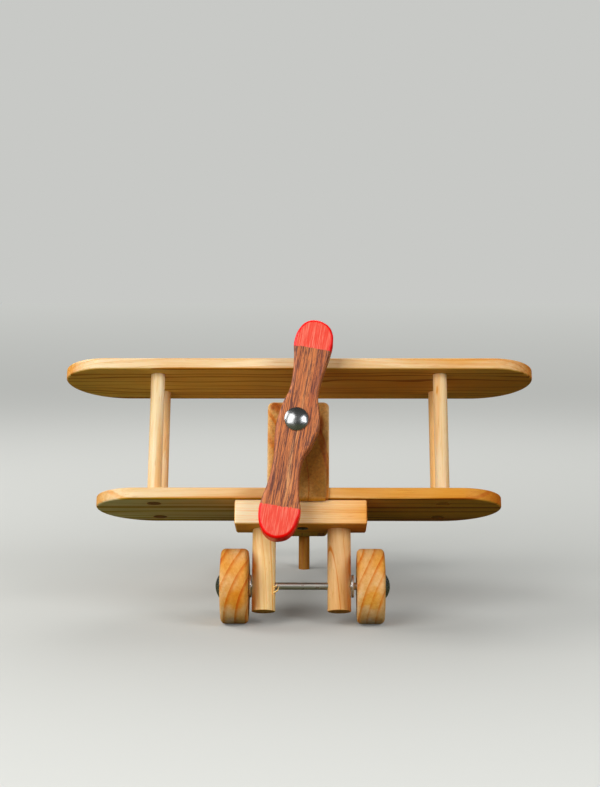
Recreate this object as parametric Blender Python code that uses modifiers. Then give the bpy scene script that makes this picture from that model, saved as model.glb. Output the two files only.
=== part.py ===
"""A wooden toy biplane with turning wheels and a turning propeller.

Units are metres and +Z is up. The toy is laid out level in its own body axes and then parked:
X runs to the pilot's left, Y runs back from the wings' leading edges and Z runs up from the lower
wing's underside. The nose points to -Y. Every piece hangs on one empty, the airframe, which
pitches the level layout nose up until both wheels and the tail skid stand on Z = 0.
"""
import math

import bmesh
import bpy
from mathutils import Vector

# Gaps: glued or seated faces keep FIT, turning pieces keep RUNNING.
FIT = 0.0003
RUNNING = 0.0004

# Wings: flat boards whose tips turn on one radius in front and a larger one behind.
WING_THICKNESS = 0.008
WING_EDGE_ROUND = 0.0014
TIP_FRONT_RADIUS = 0.031
UPPER_SPAN = 0.3282
UPPER_CHORD = 0.072
UPPER_UNDERSIDE = 0.0915
LOWER_SPAN = 0.2786
LOWER_CHORD = 0.071
TIP_ARC_STEPS = 10

# Interplane struts: dowels through the lower wing, blind in the upper wing.
STRUT_RADIUS = 0.0048
STRUT_FRONT = {"x": 0.0980, "y": 0.0146}
STRUT_REAR = {"x": 0.0978, "y": 0.0566}
STRUT_SOCKET = 0.0045

# Fuselage: sections from nose to tail, each as place back, half width, low edge, high edge.
NOSE_Y = -0.0040
BODY_HALF_WIDTH = 0.0208
BODY_LOW = -0.0016
BODY_HIGH = 0.0671
BELLY_END_Y = 0.116
TAIL_SEAT_Y = 0.194
TAIL_END_Y = 0.238
TAIL_HIGH = 0.0460
BODY_SECTIONS = (
    (NOSE_Y, BODY_HALF_WIDTH, BODY_LOW, BODY_HIGH),
    (BELLY_END_Y, BODY_HALF_WIDTH, BODY_LOW, BODY_HIGH),
    (TAIL_SEAT_Y, 0.0140, 0.0160, TAIL_HIGH),
    (TAIL_END_Y, 0.0110, 0.0260, TAIL_HIGH),
)
BODY_EDGE_ROUND = 0.0036

# Cockpit: a scoop across the top of the fuselage, behind the upper wing.
COCKPIT_Y = 0.098
COCKPIT_RADIUS = 0.017
COCKPIT_DEPTH = 0.012

# Tail surfaces: thin boards on the flat top of the tail.
TAIL_BOARD = 0.006
TAILPLANE_SPAN = 0.114
TAILPLANE_FRONT_RADIUS = 0.024
TAILPLANE_Y = 0.195
TAILPLANE_CHORD = 0.042
FIN_Y = 0.203
FIN_CHORD = 0.035
FIN_HEIGHT = 0.046
FIN_TOP_CHORD = 0.019
FIN_CORNER_RADIUS = 0.012

# Tail skid: a dowel whose end is cut along the floor.
SKID_RADIUS = 0.0044
SKID_Y = 0.215
SKID_END_Z = -0.0077
SKID_SOCKET = 0.010
SKID_X = 0.0026

# Undercarriage: a cross block with two dowel legs, a steel axle, washers, wheels and end caps.
BLOCK_X = 0.0018
BLOCK_LENGTH = 0.0888
BLOCK_FRONT_Y = 0.0009
BLOCK_DEPTH = 0.0295
BLOCK_HEIGHT = 0.0167
BLOCK_EDGE_ROUND = 0.0015
LEG_RADIUS = 0.0079
LEG_X = {"left": 0.0276, "right": -0.0231}
LEG_END_Z = -0.0725
LEG_SOCKET = 0.010
AXLE_Y = 0.0204
AXLE_Z = -0.0553
AXLE_RADIUS = 0.0024
WHEEL_RADIUS = 0.025
WHEEL_WIDTH = 0.0184
WHEEL_EDGE_ROUND = 0.003
WHEEL_INNER_X = {"left": 0.0394, "right": -0.0332}
WASHER_RADIUS = 0.0076
WASHER_THICKNESS = 0.0015
CAP_RADIUS = 0.0079
CAP_HEIGHT = 0.0034
CAP_SOCKET = 0.0014

# Propeller: a flat board on a steel pin in the nose, with a washer behind and a cap in front.
HUB_X = -0.0010
HUB_Z = 0.0494
PIN_RADIUS = 0.0024
PIN_DEPTH = 0.022
PROPELLER_THICKNESS = 0.015
PROPELLER_EDGE_ROUND = 0.0016
PROPELLER_PARKED = math.radians(9.3)
NOSE_WASHER_THICKNESS = 0.0016
HUB_CAP_RADIUS = 0.0081
HUB_CAP_HEIGHT = 0.0034

# The propeller's edge, clockwise from the upper tip: along the blade, across it to the left.
PROPELLER_OUTLINE = (
    (0.0716, 0.0010),
    (0.0706, 0.0073),
    (0.0683, 0.0111),
    (0.0643, 0.0139),
    (0.0600, 0.0151),
    (0.0517, 0.0149),
    (0.0380, 0.0128),
    (0.0250, 0.0114),
    (0.0176, 0.0117),
    (0.0091, 0.0140),
    (0.0024, 0.0155),
    (-0.0038, 0.0157),
    (-0.0101, 0.0141),
    (-0.0174, 0.0120),
    (-0.0231, 0.0092),
    (-0.0316, 0.0080),
    (-0.0417, 0.0087),
    (-0.0529, 0.0108),
    (-0.0608, 0.0129),
    (-0.0680, 0.0121),
    (-0.0768, 0.0088),
    (-0.0808, 0.0030),
    (-0.0810, -0.0045),
    (-0.0756, -0.0111),
    (-0.0654, -0.0144),
    (-0.0550, -0.0136),
    (-0.0465, -0.0119),
    (-0.0298, -0.0108),
    (-0.0093, -0.0129),
    (-0.0023, -0.0129),
    (0.0110, -0.0109),
    (0.0196, -0.0084),
    (0.0283, -0.0078),
    (0.0431, -0.0090),
    (0.0558, -0.0107),
    (0.0657, -0.0079),
    (0.0700, -0.0040),
)

# Parking: the floor touches both wheels and the skid's end, and the origin is centred below.
SKID_FROM_AXLE = Vector((SKID_Y - AXLE_Y, SKID_END_Z - AXLE_Z))
PARKED_PITCH = (
    math.asin(WHEEL_RADIUS / SKID_FROM_AXLE.length)
    + math.atan2(SKID_FROM_AXLE.y, SKID_FROM_AXLE.x)
)
AXLE_HEIGHT_UNDER_PITCH = AXLE_Z * math.cos(PARKED_PITCH) - AXLE_Y * math.sin(PARKED_PITCH)
AIRFRAME_HEIGHT = WHEEL_RADIUS - AXLE_HEIGHT_UNDER_PITCH
AIRFRAME_BACK = -0.1133

SIDES = {"left": 1.0, "right": -1.0}

# Finishes: colour, roughness and metallic value.
FINISHES = {
    "pine": ((0.80, 0.58, 0.32), 0.50, 0.0),
    "rosewood": ((0.30, 0.12, 0.06), 0.45, 0.0),
    "steel": ((0.62, 0.61, 0.60), 0.35, 1.0),
    "zinc": ((0.70, 0.70, 0.70), 0.40, 1.0),
    "chrome": ((0.55, 0.56, 0.57), 0.12, 1.0),
}


def clear_scene():
    """Remove every object that the new scene starts with."""
    for obj in list(bpy.data.objects):
        bpy.data.objects.remove(obj, do_unlink=True)


def new_collection(name):
    """Make a collection in the scene and return it."""
    collection = bpy.data.collections.new(name)
    bpy.context.scene.collection.children.link(collection)
    return collection


def move_to(obj, collection):
    """Put an object in one collection only."""
    for holder in list(obj.users_collection):
        holder.objects.unlink(obj)
    collection.objects.link(obj)


def give_material(obj, finish):
    """Give a piece its own Principled material in one of the named finishes."""
    colour, roughness, metallic = FINISHES[finish]
    material = bpy.data.materials.new(obj.name + "_" + finish)
    material.use_nodes = True
    shader = material.node_tree.nodes["Principled BSDF"]
    shader.inputs["Base Color"].default_value = (*colour, 1.0)
    shader.inputs["Roughness"].default_value = roughness
    shader.inputs["Metallic"].default_value = metallic
    obj.data.materials.clear()
    obj.data.materials.append(material)


def shade_round(mesh):
    """Shade a mesh smooth between its sharp edges."""
    mesh.shade_smooth()
    mesh.set_sharp_from_angle(angle=math.radians(35.0))


def finish_piece(obj, name, finish, home):
    """Name a piece, dress it, shade it and hang it on the airframe."""
    obj.name = name
    obj.data.name = name
    move_to(obj, home["parts"])
    obj.parent = home["airframe"]
    give_material(obj, finish)
    shade_round(obj.data)
    return obj


def finish_cutter(obj, name, home):
    """Name a cutter, keep it out of the model and hang it on the airframe."""
    obj.name = name
    obj.hide_render = True
    obj.display_type = "WIRE"
    move_to(obj, home["cutters"])
    obj.parent = home["airframe"]
    return obj


def cut(obj, cutter):
    """Take a cutter's shape out of a piece."""
    boolean = obj.modifiers.new("cut_" + cutter.name, "BOOLEAN")
    boolean.operation = "DIFFERENCE"
    boolean.solver = "EXACT"
    boolean.object = cutter


def round_edges(obj, width, segments=2, angle=40.0):
    """Round the edges that turn by more than an angle."""
    bevel = obj.modifiers.new("rounded_edges", "BEVEL")
    bevel.width = width
    bevel.segments = segments
    bevel.limit_method = "ANGLE"
    bevel.angle_limit = math.radians(angle)
    bevel.use_clamp_overlap = True


def add_box(centre, size):
    """Add a box by its centre and size, with its scale applied."""
    bpy.ops.mesh.primitive_cube_add(size=1.0, location=centre)
    box = bpy.context.active_object
    box.scale = size
    bpy.ops.object.transform_apply(location=False, rotation=False, scale=True)
    return box


def add_rod(radius, start, end, sides):
    """Add a cylinder between two points that lie along one body axis."""
    start = Vector(start)
    end = Vector(end)
    run = end - start
    bpy.ops.mesh.primitive_cylinder_add(
        vertices=sides,
        radius=radius,
        depth=run.length,
        end_fill_type="NGON",
        location=(start + end) / 2,
        rotation=run.to_track_quat("Z", "Y").to_euler(),
    )
    return bpy.context.active_object


def add_turned(profile, place, turn, sides):
    """Turn a profile of (radius, height) points once about its local Z, as a ring or a dome."""
    mesh = bpy.data.meshes.new("turned")
    shape = bmesh.new()
    points = [shape.verts.new((radius, 0.0, height)) for radius, height in profile]
    for first, second in zip(points, points[1:]):
        shape.edges.new((first, second))
    is_ring = profile[0][0] > 0.0
    if is_ring:
        shape.edges.new((points[-1], points[0]))
    shape.to_mesh(mesh)
    shape.free()
    obj = bpy.data.objects.new("turned", mesh)
    bpy.context.scene.collection.objects.link(obj)
    obj.location = place
    obj.rotation_euler = turn
    screw = obj.modifiers.new("turn", "SCREW")
    screw.axis = "Z"
    screw.steps = sides
    screw.render_steps = sides
    screw.use_merge_vertices = True
    screw.merge_threshold = 0.00001
    screw.use_smooth_shade = True
    return obj


def board_from_curve(curve, place, turn):
    """Turn a filled flat outline into a closed board whose faces are whole."""
    outline = bpy.data.objects.new("outline", curve)
    bpy.context.scene.collection.objects.link(outline)
    outline.location = place
    outline.rotation_euler = turn
    bpy.context.view_layer.update()
    graph = bpy.context.evaluated_depsgraph_get()
    mesh = bpy.data.meshes.new_from_object(outline.evaluated_get(graph))
    board = bpy.data.objects.new("board", mesh)
    bpy.context.scene.collection.objects.link(board)
    board.matrix_world = outline.matrix_world
    bpy.data.objects.remove(outline, do_unlink=True)
    shape = bmesh.new()
    shape.from_mesh(mesh)
    bmesh.ops.remove_doubles(shape, verts=shape.verts, dist=0.00001)
    bmesh.ops.dissolve_limit(shape, angle_limit=0.005, verts=shape.verts, edges=shape.edges)
    bmesh.ops.recalc_face_normals(shape, faces=shape.faces)
    shape.to_mesh(mesh)
    shape.free()
    return board


def flat_curve(name, thickness):
    """Start a filled flat curve that is extruded to a board's thickness."""
    curve = bpy.data.curves.new(name, "CURVE")
    curve.dimensions = "2D"
    curve.fill_mode = "BOTH"
    curve.extrude = thickness / 2
    return curve


def add_poly_board(name, points, thickness, place, turn=(0.0, 0.0, 0.0)):
    """Add a board whose outline runs straight from point to point."""
    curve = flat_curve(name, thickness)
    spline = curve.splines.new("POLY")
    spline.points.add(len(points) - 1)
    for knot, (across, along) in zip(spline.points, points):
        knot.co = (across, along, 0.0, 1.0)
    spline.use_cyclic_u = True
    return board_from_curve(curve, place, turn)


def add_smooth_board(name, points, thickness, place, turn, resolution):
    """Add a board whose outline is a smooth closed curve through its points."""
    curve = flat_curve(name, thickness)
    curve.resolution_u = resolution
    spline = curve.splines.new("BEZIER")
    spline.bezier_points.add(len(points) - 1)
    for knot, (across, along) in zip(spline.bezier_points, points):
        knot.co = (across, along, 0.0)
        knot.handle_left_type = "AUTO"
        knot.handle_right_type = "AUTO"
    spline.use_cyclic_u = True
    return board_from_curve(curve, place, turn)


def arc(centre, radius, start, end, steps):
    """Points on an arc from one angle to another, both ends included."""
    points = []
    for step in range(steps + 1):
        angle = math.radians(start + (end - start) * step / steps)
        points.append((centre[0] + radius * math.cos(angle), centre[1] + radius * math.sin(angle)))
    return points


def wing_outline(span, chord, front_radius):
    """A straight board's planform with two arcs at each tip, from its leading edge back."""
    half = span / 2
    rear_radius = chord - front_radius
    left_front = arc((half - front_radius, front_radius), front_radius, -90, 0, TIP_ARC_STEPS)
    left_rear = arc((half - rear_radius, front_radius), rear_radius, 0, 90, TIP_ARC_STEPS)
    left_tip = left_front + left_rear[1:]
    right_tip = [(-across, along) for across, along in reversed(left_tip)]
    return left_tip + right_tip


def strut_places():
    """Name, x and y of each of the four struts."""
    places = []
    for row, seat in (("front", STRUT_FRONT), ("rear", STRUT_REAR)):
        for side, sign in SIDES.items():
            places.append(("strut_" + row + "_" + side, sign * seat["x"], seat["y"]))
    return places


def build_wings(home):
    """The two wings, each drilled for the four struts."""
    upper = add_poly_board(
        "upper_wing",
        wing_outline(UPPER_SPAN, UPPER_CHORD, TIP_FRONT_RADIUS),
        WING_THICKNESS,
        (0.0, 0.0, UPPER_UNDERSIDE + WING_THICKNESS / 2),
    )
    lower = add_poly_board(
        "lower_wing",
        wing_outline(LOWER_SPAN, LOWER_CHORD, TIP_FRONT_RADIUS),
        WING_THICKNESS,
        (0.0, 0.0, WING_THICKNESS / 2),
    )
    for wing, name in ((upper, "upper_wing"), (lower, "lower_wing")):
        finish_piece(wing, name, "pine", home)
        round_edges(wing, WING_EDGE_ROUND)
    for name, x, y in strut_places():
        drill_end = UPPER_UNDERSIDE + STRUT_SOCKET + FIT
        drill = add_rod(STRUT_RADIUS + FIT, (x, y, -0.01), (x, y, drill_end), 24)
        finish_cutter(drill, "drill_" + name, home)
        cut(upper, drill)
        cut(lower, drill)


def build_struts(home):
    """Four dowels, flush with the lower wing's underside and let into the upper wing."""
    for name, x, y in strut_places():
        top = UPPER_UNDERSIDE + STRUT_SOCKET
        strut = add_rod(STRUT_RADIUS, (x, y, 0.0), (x, y, top), 24)
        finish_piece(strut, name, "pine", home)


def build_fuselage(home):
    """The body: lofted through its sections, with the wing's notch, the cockpit and its holes."""
    mesh = bpy.data.meshes.new("fuselage")
    shape = bmesh.new()
    rings = []
    for back, half, low, high in BODY_SECTIONS:
        corners = ((-half, low), (half, low), (half, high), (-half, high))
        rings.append([shape.verts.new((x, back, z)) for x, z in corners])
    for near, far in zip(rings, rings[1:]):
        for index in range(4):
            following = (index + 1) % 4
            shape.faces.new((near[index], near[following], far[following], far[index]))
    shape.faces.new(rings[0])
    shape.faces.new(rings[-1])
    bmesh.ops.recalc_face_normals(shape, faces=shape.faces)
    shape.to_mesh(mesh)
    shape.free()
    body = bpy.data.objects.new("fuselage", mesh)
    bpy.context.scene.collection.objects.link(body)
    finish_piece(body, "fuselage", "pine", home)
    round_edges(body, BODY_EDGE_ROUND, segments=3)

    notch_height = WING_THICKNESS + FIT + 0.01
    notch = add_box(
        (0.0, LOWER_CHORD / 2, WING_THICKNESS + FIT - notch_height / 2),
        (4 * BODY_HALF_WIDTH, LOWER_CHORD + 2 * FIT, notch_height),
    )
    finish_cutter(notch, "wing_notch", home)
    cut(body, notch)

    scoop_z = BODY_HIGH - COCKPIT_DEPTH + COCKPIT_RADIUS
    scoop_reach = 2 * BODY_HALF_WIDTH
    scoop = add_rod(
        COCKPIT_RADIUS,
        (-scoop_reach, COCKPIT_Y, scoop_z),
        (scoop_reach, COCKPIT_Y, scoop_z),
        48,
    )
    finish_cutter(scoop, "cockpit_scoop", home)
    cut(body, scoop)

    pin_hole = add_rod(
        PIN_RADIUS + FIT,
        (HUB_X, NOSE_Y - 0.01, HUB_Z),
        (HUB_X, NOSE_Y + PIN_DEPTH + FIT, HUB_Z),
        24,
    )
    finish_cutter(pin_hole, "pin_hole", home)
    cut(body, pin_hole)

    skid_hole = add_rod(
        SKID_RADIUS + FIT,
        (SKID_X, SKID_Y, -0.02),
        (SKID_X, SKID_Y, skid_top() + FIT),
        24,
    )
    finish_cutter(skid_hole, "skid_hole", home)
    cut(body, skid_hole)


def skid_top():
    """Height of the skid's upper end, inside the tail."""
    run = (SKID_Y - BELLY_END_Y) / (TAIL_END_Y - BELLY_END_Y)
    tail_low = BODY_SECTIONS[-1][2]
    return BODY_LOW + run * (tail_low - BODY_LOW) + SKID_SOCKET


def build_tail(home):
    """The tailplane, the fin and the skid that holds the tail off the floor."""
    tailplane_z = TAIL_HIGH + FIT + TAIL_BOARD / 2
    tailplane = add_poly_board(
        "tailplane",
        wing_outline(TAILPLANE_SPAN, TAILPLANE_CHORD, TAILPLANE_FRONT_RADIUS),
        TAIL_BOARD,
        (0.0, TAILPLANE_Y, tailplane_z),
    )
    finish_piece(tailplane, "tailplane", "pine", home)
    round_edges(tailplane, WING_EDGE_ROUND)

    corner = arc(
        (FIN_CHORD - FIN_TOP_CHORD + FIN_CORNER_RADIUS, FIN_HEIGHT - FIN_CORNER_RADIUS),
        FIN_CORNER_RADIUS,
        155,
        90,
        6,
    )
    outline = [(0.0, 0.0)] + corner + [(FIN_CHORD, FIN_HEIGHT), (FIN_CHORD, 0.0)]
    fin = add_poly_board(
        "fin",
        outline,
        TAIL_BOARD,
        (0.0, FIN_Y, TAIL_HIGH + TAIL_BOARD + 2 * FIT),
        (math.radians(90.0), 0.0, math.radians(90.0)),
    )
    finish_piece(fin, "fin", "pine", home)
    round_edges(fin, WING_EDGE_ROUND)

    skid = add_rod(
        SKID_RADIUS,
        (SKID_X, SKID_Y, SKID_END_Z - 0.01),
        (SKID_X, SKID_Y, skid_top()),
        24,
    )
    finish_piece(skid, "tail_skid", "pine", home)
    saw = add_box((SKID_X, SKID_Y, SKID_END_Z), (0.04, 0.04, 0.04))
    saw.rotation_euler = (PARKED_PITCH, 0.0, 0.0)
    saw_reach = Vector((0.0, math.sin(PARKED_PITCH), -math.cos(PARKED_PITCH))) * 0.02
    saw.location = saw.location + saw_reach
    finish_cutter(saw, "floor_cut", home)
    cut(skid, saw)


def build_undercarriage(home):
    """The cross block, its two legs and the axle that runs through them."""
    block_top = -FIT
    block = add_box(
        (BLOCK_X, BLOCK_FRONT_Y + BLOCK_DEPTH / 2, block_top - BLOCK_HEIGHT / 2),
        (BLOCK_LENGTH, BLOCK_DEPTH, BLOCK_HEIGHT),
    )
    finish_piece(block, "chassis_block", "pine", home)
    round_edges(block, BLOCK_EDGE_ROUND)

    leg_top = block_top - BLOCK_HEIGHT + LEG_SOCKET
    axle_hole = add_rod(
        AXLE_RADIUS + FIT, (-0.05, AXLE_Y, AXLE_Z), (0.05, AXLE_Y, AXLE_Z), 24
    )
    finish_cutter(axle_hole, "axle_hole", home)
    for side, x in LEG_X.items():
        socket = add_rod(LEG_RADIUS + FIT, (x, AXLE_Y, LEG_END_Z), (x, AXLE_Y, leg_top + FIT), 32)
        finish_cutter(socket, "socket_" + side, home)
        cut(block, socket)
        leg = add_rod(LEG_RADIUS, (x, AXLE_Y, LEG_END_Z), (x, AXLE_Y, leg_top), 32)
        finish_piece(leg, "leg_" + side, "pine", home)
        cut(leg, axle_hole)

    axle_reach = WHEEL_WIDTH + RUNNING + CAP_SOCKET - FIT
    axle = add_rod(
        AXLE_RADIUS,
        (WHEEL_INNER_X["right"] - axle_reach, AXLE_Y, AXLE_Z),
        (WHEEL_INNER_X["left"] + axle_reach, AXLE_Y, AXLE_Z),
        24,
    )
    finish_piece(axle, "axle", "steel", home)


def outward(sign):
    """Rotation that turns a piece's local Z to one side of the toy."""
    return (0.0, sign * math.radians(90.0), 0.0)


def ring_profile(inner, outer, thickness):
    """Profile of a flat ring, down its outer side first."""
    return ((inner, thickness), (outer, thickness), (outer, 0.0), (inner, 0.0))


def cap_profile(radius, height, bore):
    """Profile of a domed cap with a blind socket in its flat back."""
    rim = 0.0006
    rise = height - rim
    dome_radius = (radius * radius + rise * rise) / (2 * rise)
    steps = 7
    widest = math.asin(radius / dome_radius)
    profile = []
    for step in range(steps + 1):
        angle = widest * step / steps
        drop = dome_radius * (1.0 - math.cos(angle))
        profile.append((dome_radius * math.sin(angle), height - drop))
    profile += [(radius, 0.0), (bore, 0.0), (bore, CAP_SOCKET), (0.0, CAP_SOCKET)]
    return profile


def wheel_profile():
    """Profile of a wheel with rounded rims and a bore for the axle."""
    bore = AXLE_RADIUS + RUNNING
    shoulder = WHEEL_RADIUS - WHEEL_EDGE_ROUND
    upper = arc((shoulder, WHEEL_WIDTH - WHEEL_EDGE_ROUND), WHEEL_EDGE_ROUND, 90, 0, 5)
    lower = arc((shoulder, WHEEL_EDGE_ROUND), WHEEL_EDGE_ROUND, 0, -90, 5)
    return [(bore, WHEEL_WIDTH)] + upper + lower + [(bore, 0.0)]


def build_wheels(home):
    """A wheel, a washer inside it and a cap outside it on each end of the axle."""
    washer_bore = AXLE_RADIUS + RUNNING
    for side, sign in SIDES.items():
        inner = WHEEL_INNER_X[side]
        wheel = add_turned(wheel_profile(), (inner, AXLE_Y, AXLE_Z), outward(sign), 64)
        finish_piece(wheel, "wheel_" + side, "pine", home)

        washer_x = LEG_X[side] + sign * (LEG_RADIUS + FIT)
        washer = add_turned(
            ring_profile(washer_bore, WASHER_RADIUS, WASHER_THICKNESS),
            (washer_x, AXLE_Y, AXLE_Z),
            outward(sign),
            32,
        )
        finish_piece(washer, "washer_" + side, "zinc", home)

        cap_x = inner + sign * (WHEEL_WIDTH + RUNNING)
        cap = add_turned(
            cap_profile(CAP_RADIUS, CAP_HEIGHT, AXLE_RADIUS + FIT),
            (cap_x, AXLE_Y, AXLE_Z),
            outward(sign),
            32,
        )
        finish_piece(cap, "axle_cap_" + side, "chrome", home)


def build_propeller(home):
    """The pin in the nose with its washer, the propeller that turns on it and the domed cap."""
    forward = (math.radians(90.0), 0.0, 0.0)
    washer_y = NOSE_Y - FIT
    back_y = washer_y - NOSE_WASHER_THICKNESS - RUNNING
    cap_y = back_y - PROPELLER_THICKNESS - RUNNING

    washer = add_turned(
        ring_profile(PIN_RADIUS + FIT, WASHER_RADIUS, NOSE_WASHER_THICKNESS),
        (HUB_X, washer_y, HUB_Z),
        forward,
        32,
    )
    finish_piece(washer, "propeller_washer", "zinc", home)

    pin = add_rod(
        PIN_RADIUS,
        (HUB_X, cap_y - CAP_SOCKET + FIT, HUB_Z),
        (HUB_X, NOSE_Y + PIN_DEPTH, HUB_Z),
        24,
    )
    finish_piece(pin, "propeller_pin", "steel", home)

    outline = [(across, along) for along, across in PROPELLER_OUTLINE]
    propeller = add_smooth_board(
        "propeller",
        outline,
        PROPELLER_THICKNESS,
        (HUB_X, back_y - PROPELLER_THICKNESS / 2, HUB_Z),
        (math.radians(90.0), PROPELLER_PARKED, 0.0),
        4,
    )
    finish_piece(propeller, "propeller", "rosewood", home)
    round_edges(propeller, PROPELLER_EDGE_ROUND)
    bore = add_rod(
        PIN_RADIUS + RUNNING,
        (HUB_X, back_y + 0.002, HUB_Z),
        (HUB_X, cap_y - 0.002, HUB_Z),
        24,
    )
    finish_cutter(bore, "propeller_bore", home)
    cut(propeller, bore)

    cap = add_turned(
        cap_profile(HUB_CAP_RADIUS, HUB_CAP_HEIGHT, PIN_RADIUS + FIT),
        (HUB_X, cap_y, HUB_Z),
        forward,
        40,
    )
    finish_piece(cap, "propeller_cap", "chrome", home)


def main():
    """Build the whole toy and park it on the floor."""
    clear_scene()
    airframe = bpy.data.objects.new("airframe", None)
    bpy.context.scene.collection.objects.link(airframe)
    home = {
        "parts": new_collection("toy_biplane"),
        "cutters": new_collection("cutters"),
        "airframe": airframe,
    }
    build_wings(home)
    build_struts(home)
    build_fuselage(home)
    build_tail(home)
    build_undercarriage(home)
    build_wheels(home)
    build_propeller(home)
    airframe.location = (0.0, AIRFRAME_BACK, AIRFRAME_HEIGHT)
    airframe.rotation_euler = (-PARKED_PITCH, 0.0, 0.0)
    bpy.context.view_layer.update()


main()
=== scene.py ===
"""The wooden toy biplane, dressed for its picture.

Pieces are shaped level, in the toy's own body axes: X to the pilot's left, Y back from the wings'
leading edges, Z up from the lower wing's underside. Each is then parked on the floor with its
place in its mesh, dressed in its finish and hung on the body that carries it. A piece is named
for the node that it stands for, and for what it is made from.
"""
import logging
import math
from contextlib import contextmanager
from dataclasses import dataclass
from enum import Enum, IntEnum
from typing import Callable, Iterator, Sequence

import bmesh
import bpy
from mathutils import Euler, Matrix, Vector


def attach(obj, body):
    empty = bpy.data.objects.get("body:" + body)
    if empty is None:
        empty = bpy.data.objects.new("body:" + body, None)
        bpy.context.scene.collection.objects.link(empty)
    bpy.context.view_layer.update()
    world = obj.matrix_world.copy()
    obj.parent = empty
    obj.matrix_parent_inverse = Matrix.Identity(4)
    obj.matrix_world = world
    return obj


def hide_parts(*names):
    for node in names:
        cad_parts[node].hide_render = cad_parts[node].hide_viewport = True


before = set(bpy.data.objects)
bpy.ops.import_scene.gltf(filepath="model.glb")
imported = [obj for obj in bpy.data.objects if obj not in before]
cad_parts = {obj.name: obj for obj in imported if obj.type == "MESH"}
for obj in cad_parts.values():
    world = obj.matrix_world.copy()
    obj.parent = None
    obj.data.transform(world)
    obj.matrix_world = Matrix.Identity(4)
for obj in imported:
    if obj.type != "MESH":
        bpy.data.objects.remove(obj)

LOG = logging.getLogger("toy_biplane")

# Gaps between pieces that touch and between faces that run on each other, and the unit of how
# far a cutter reaches past the wood, all in metres.
FIT = 0.0003
RUNNING = 0.0004
CLEAR = 0.01

Socket = bpy.types.NodeSocket
Test = Callable[[Vector, Vector], bool]
Place = Sequence[float]
Pair = tuple[float, float]
Triple = tuple[float, float, float]
Tone = Triple


def tone(red: int, green: int, blue: int) -> Tone:
    """Turn a given colour into linear light.

    Args:
        red: Red channel, 0 to 255.
        green: Green channel.
        blue: Blue channel.

    Returns:
        The same colour as the shaders take it.
    """
    picked = (red / 255.0, green / 255.0, blue / 255.0)
    return tuple(c / 12.92 if c <= 0.04045 else ((c + 0.055) / 1.055) ** 2.4 for c in picked)


BLACK: Tone = (0.0, 0.0, 0.0)
CLEAN: Tone = (1.0, 1.0, 1.0)


class Side(Enum):
    """The pilot's left and right hand, with the sign of X on that side."""

    LEFT = 1.0
    RIGHT = -1.0

    @property
    def word(self) -> str:
        """The side's name as the pieces use it."""
        return self.name.lower()


class Axis(IntEnum):
    """The body axes, by their place in a vector."""

    X = 0
    Y = 1
    Z = 2


class Slot(Enum):
    """Finishes that the model's record names."""

    PINE = "pine"
    PROPELLER_WOOD = "propeller_wood"
    STEEL = "steel"
    ZINC = "zinc"
    CHROME = "chrome"


class Part(Enum):
    """What an edit picks out of a mesh."""

    CORNERS = "VERT"
    EDGES = "EDGE"
    FACES = "FACE"


class Run(Enum):
    """Which way a board's or dowel's grain runs, as its local X, Y and Z in body axes."""

    SPAN = ((1.0, 0.0, 0.0), (0.0, 1.0, 0.0), (0.0, 0.0, 1.0))
    LENGTH = ((0.0, 1.0, 0.0), (-1.0, 0.0, 0.0), (0.0, 0.0, 1.0))
    RISE = ((0.0, 0.0, 1.0), (0.0, 1.0, 0.0), (-1.0, 0.0, 0.0))


@dataclass(frozen=True)
class BodyAxes:
    """The toy's own axes as it stands parked, nose up on its wheels and tail skid.

    Args:
        pitch: How far the nose is up, in radians.
        back: Y of the axes' origin above the floor.
        height: Its height above the floor.
    """

    pitch: float = math.radians(20.913524484861)
    back: float = -0.1133
    height: float = 0.08393880286

    def matrix(self) -> Matrix:
        """Matrix from level body places to places above the floor."""
        turn = Matrix.Rotation(-self.pitch, 4, "X")
        return Matrix.Translation((0.0, self.back, self.height)) @ turn

    def place(self, body: Place) -> Vector:
        """Place above the floor of a place in body axes."""
        return self.matrix() @ Vector(body)

    def way(self, body: Place) -> Vector:
        """Direction above the floor of a direction in body axes."""
        return self.matrix().to_3x3() @ Vector(body)

    def grain_turn(self, columns: Sequence[Place], lean: Place = (0.0, 0.0, 0.0)) -> Euler:
        """Turn of a grain's own axes against the floor's.

        Args:
            columns: The grain's local X, Y and Z in body axes.
            lean: Small extra turn about those axes, in degrees.

        Returns:
            The turn as an Euler angle, for a Mapping node.
        """
        local = Matrix([Vector(column) for column in columns]).transposed()
        extra = Euler([math.radians(angle) for angle in lean]).to_matrix()
        return (self.matrix().to_3x3() @ local @ extra).to_euler()


AXES = BodyAxes()


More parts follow.
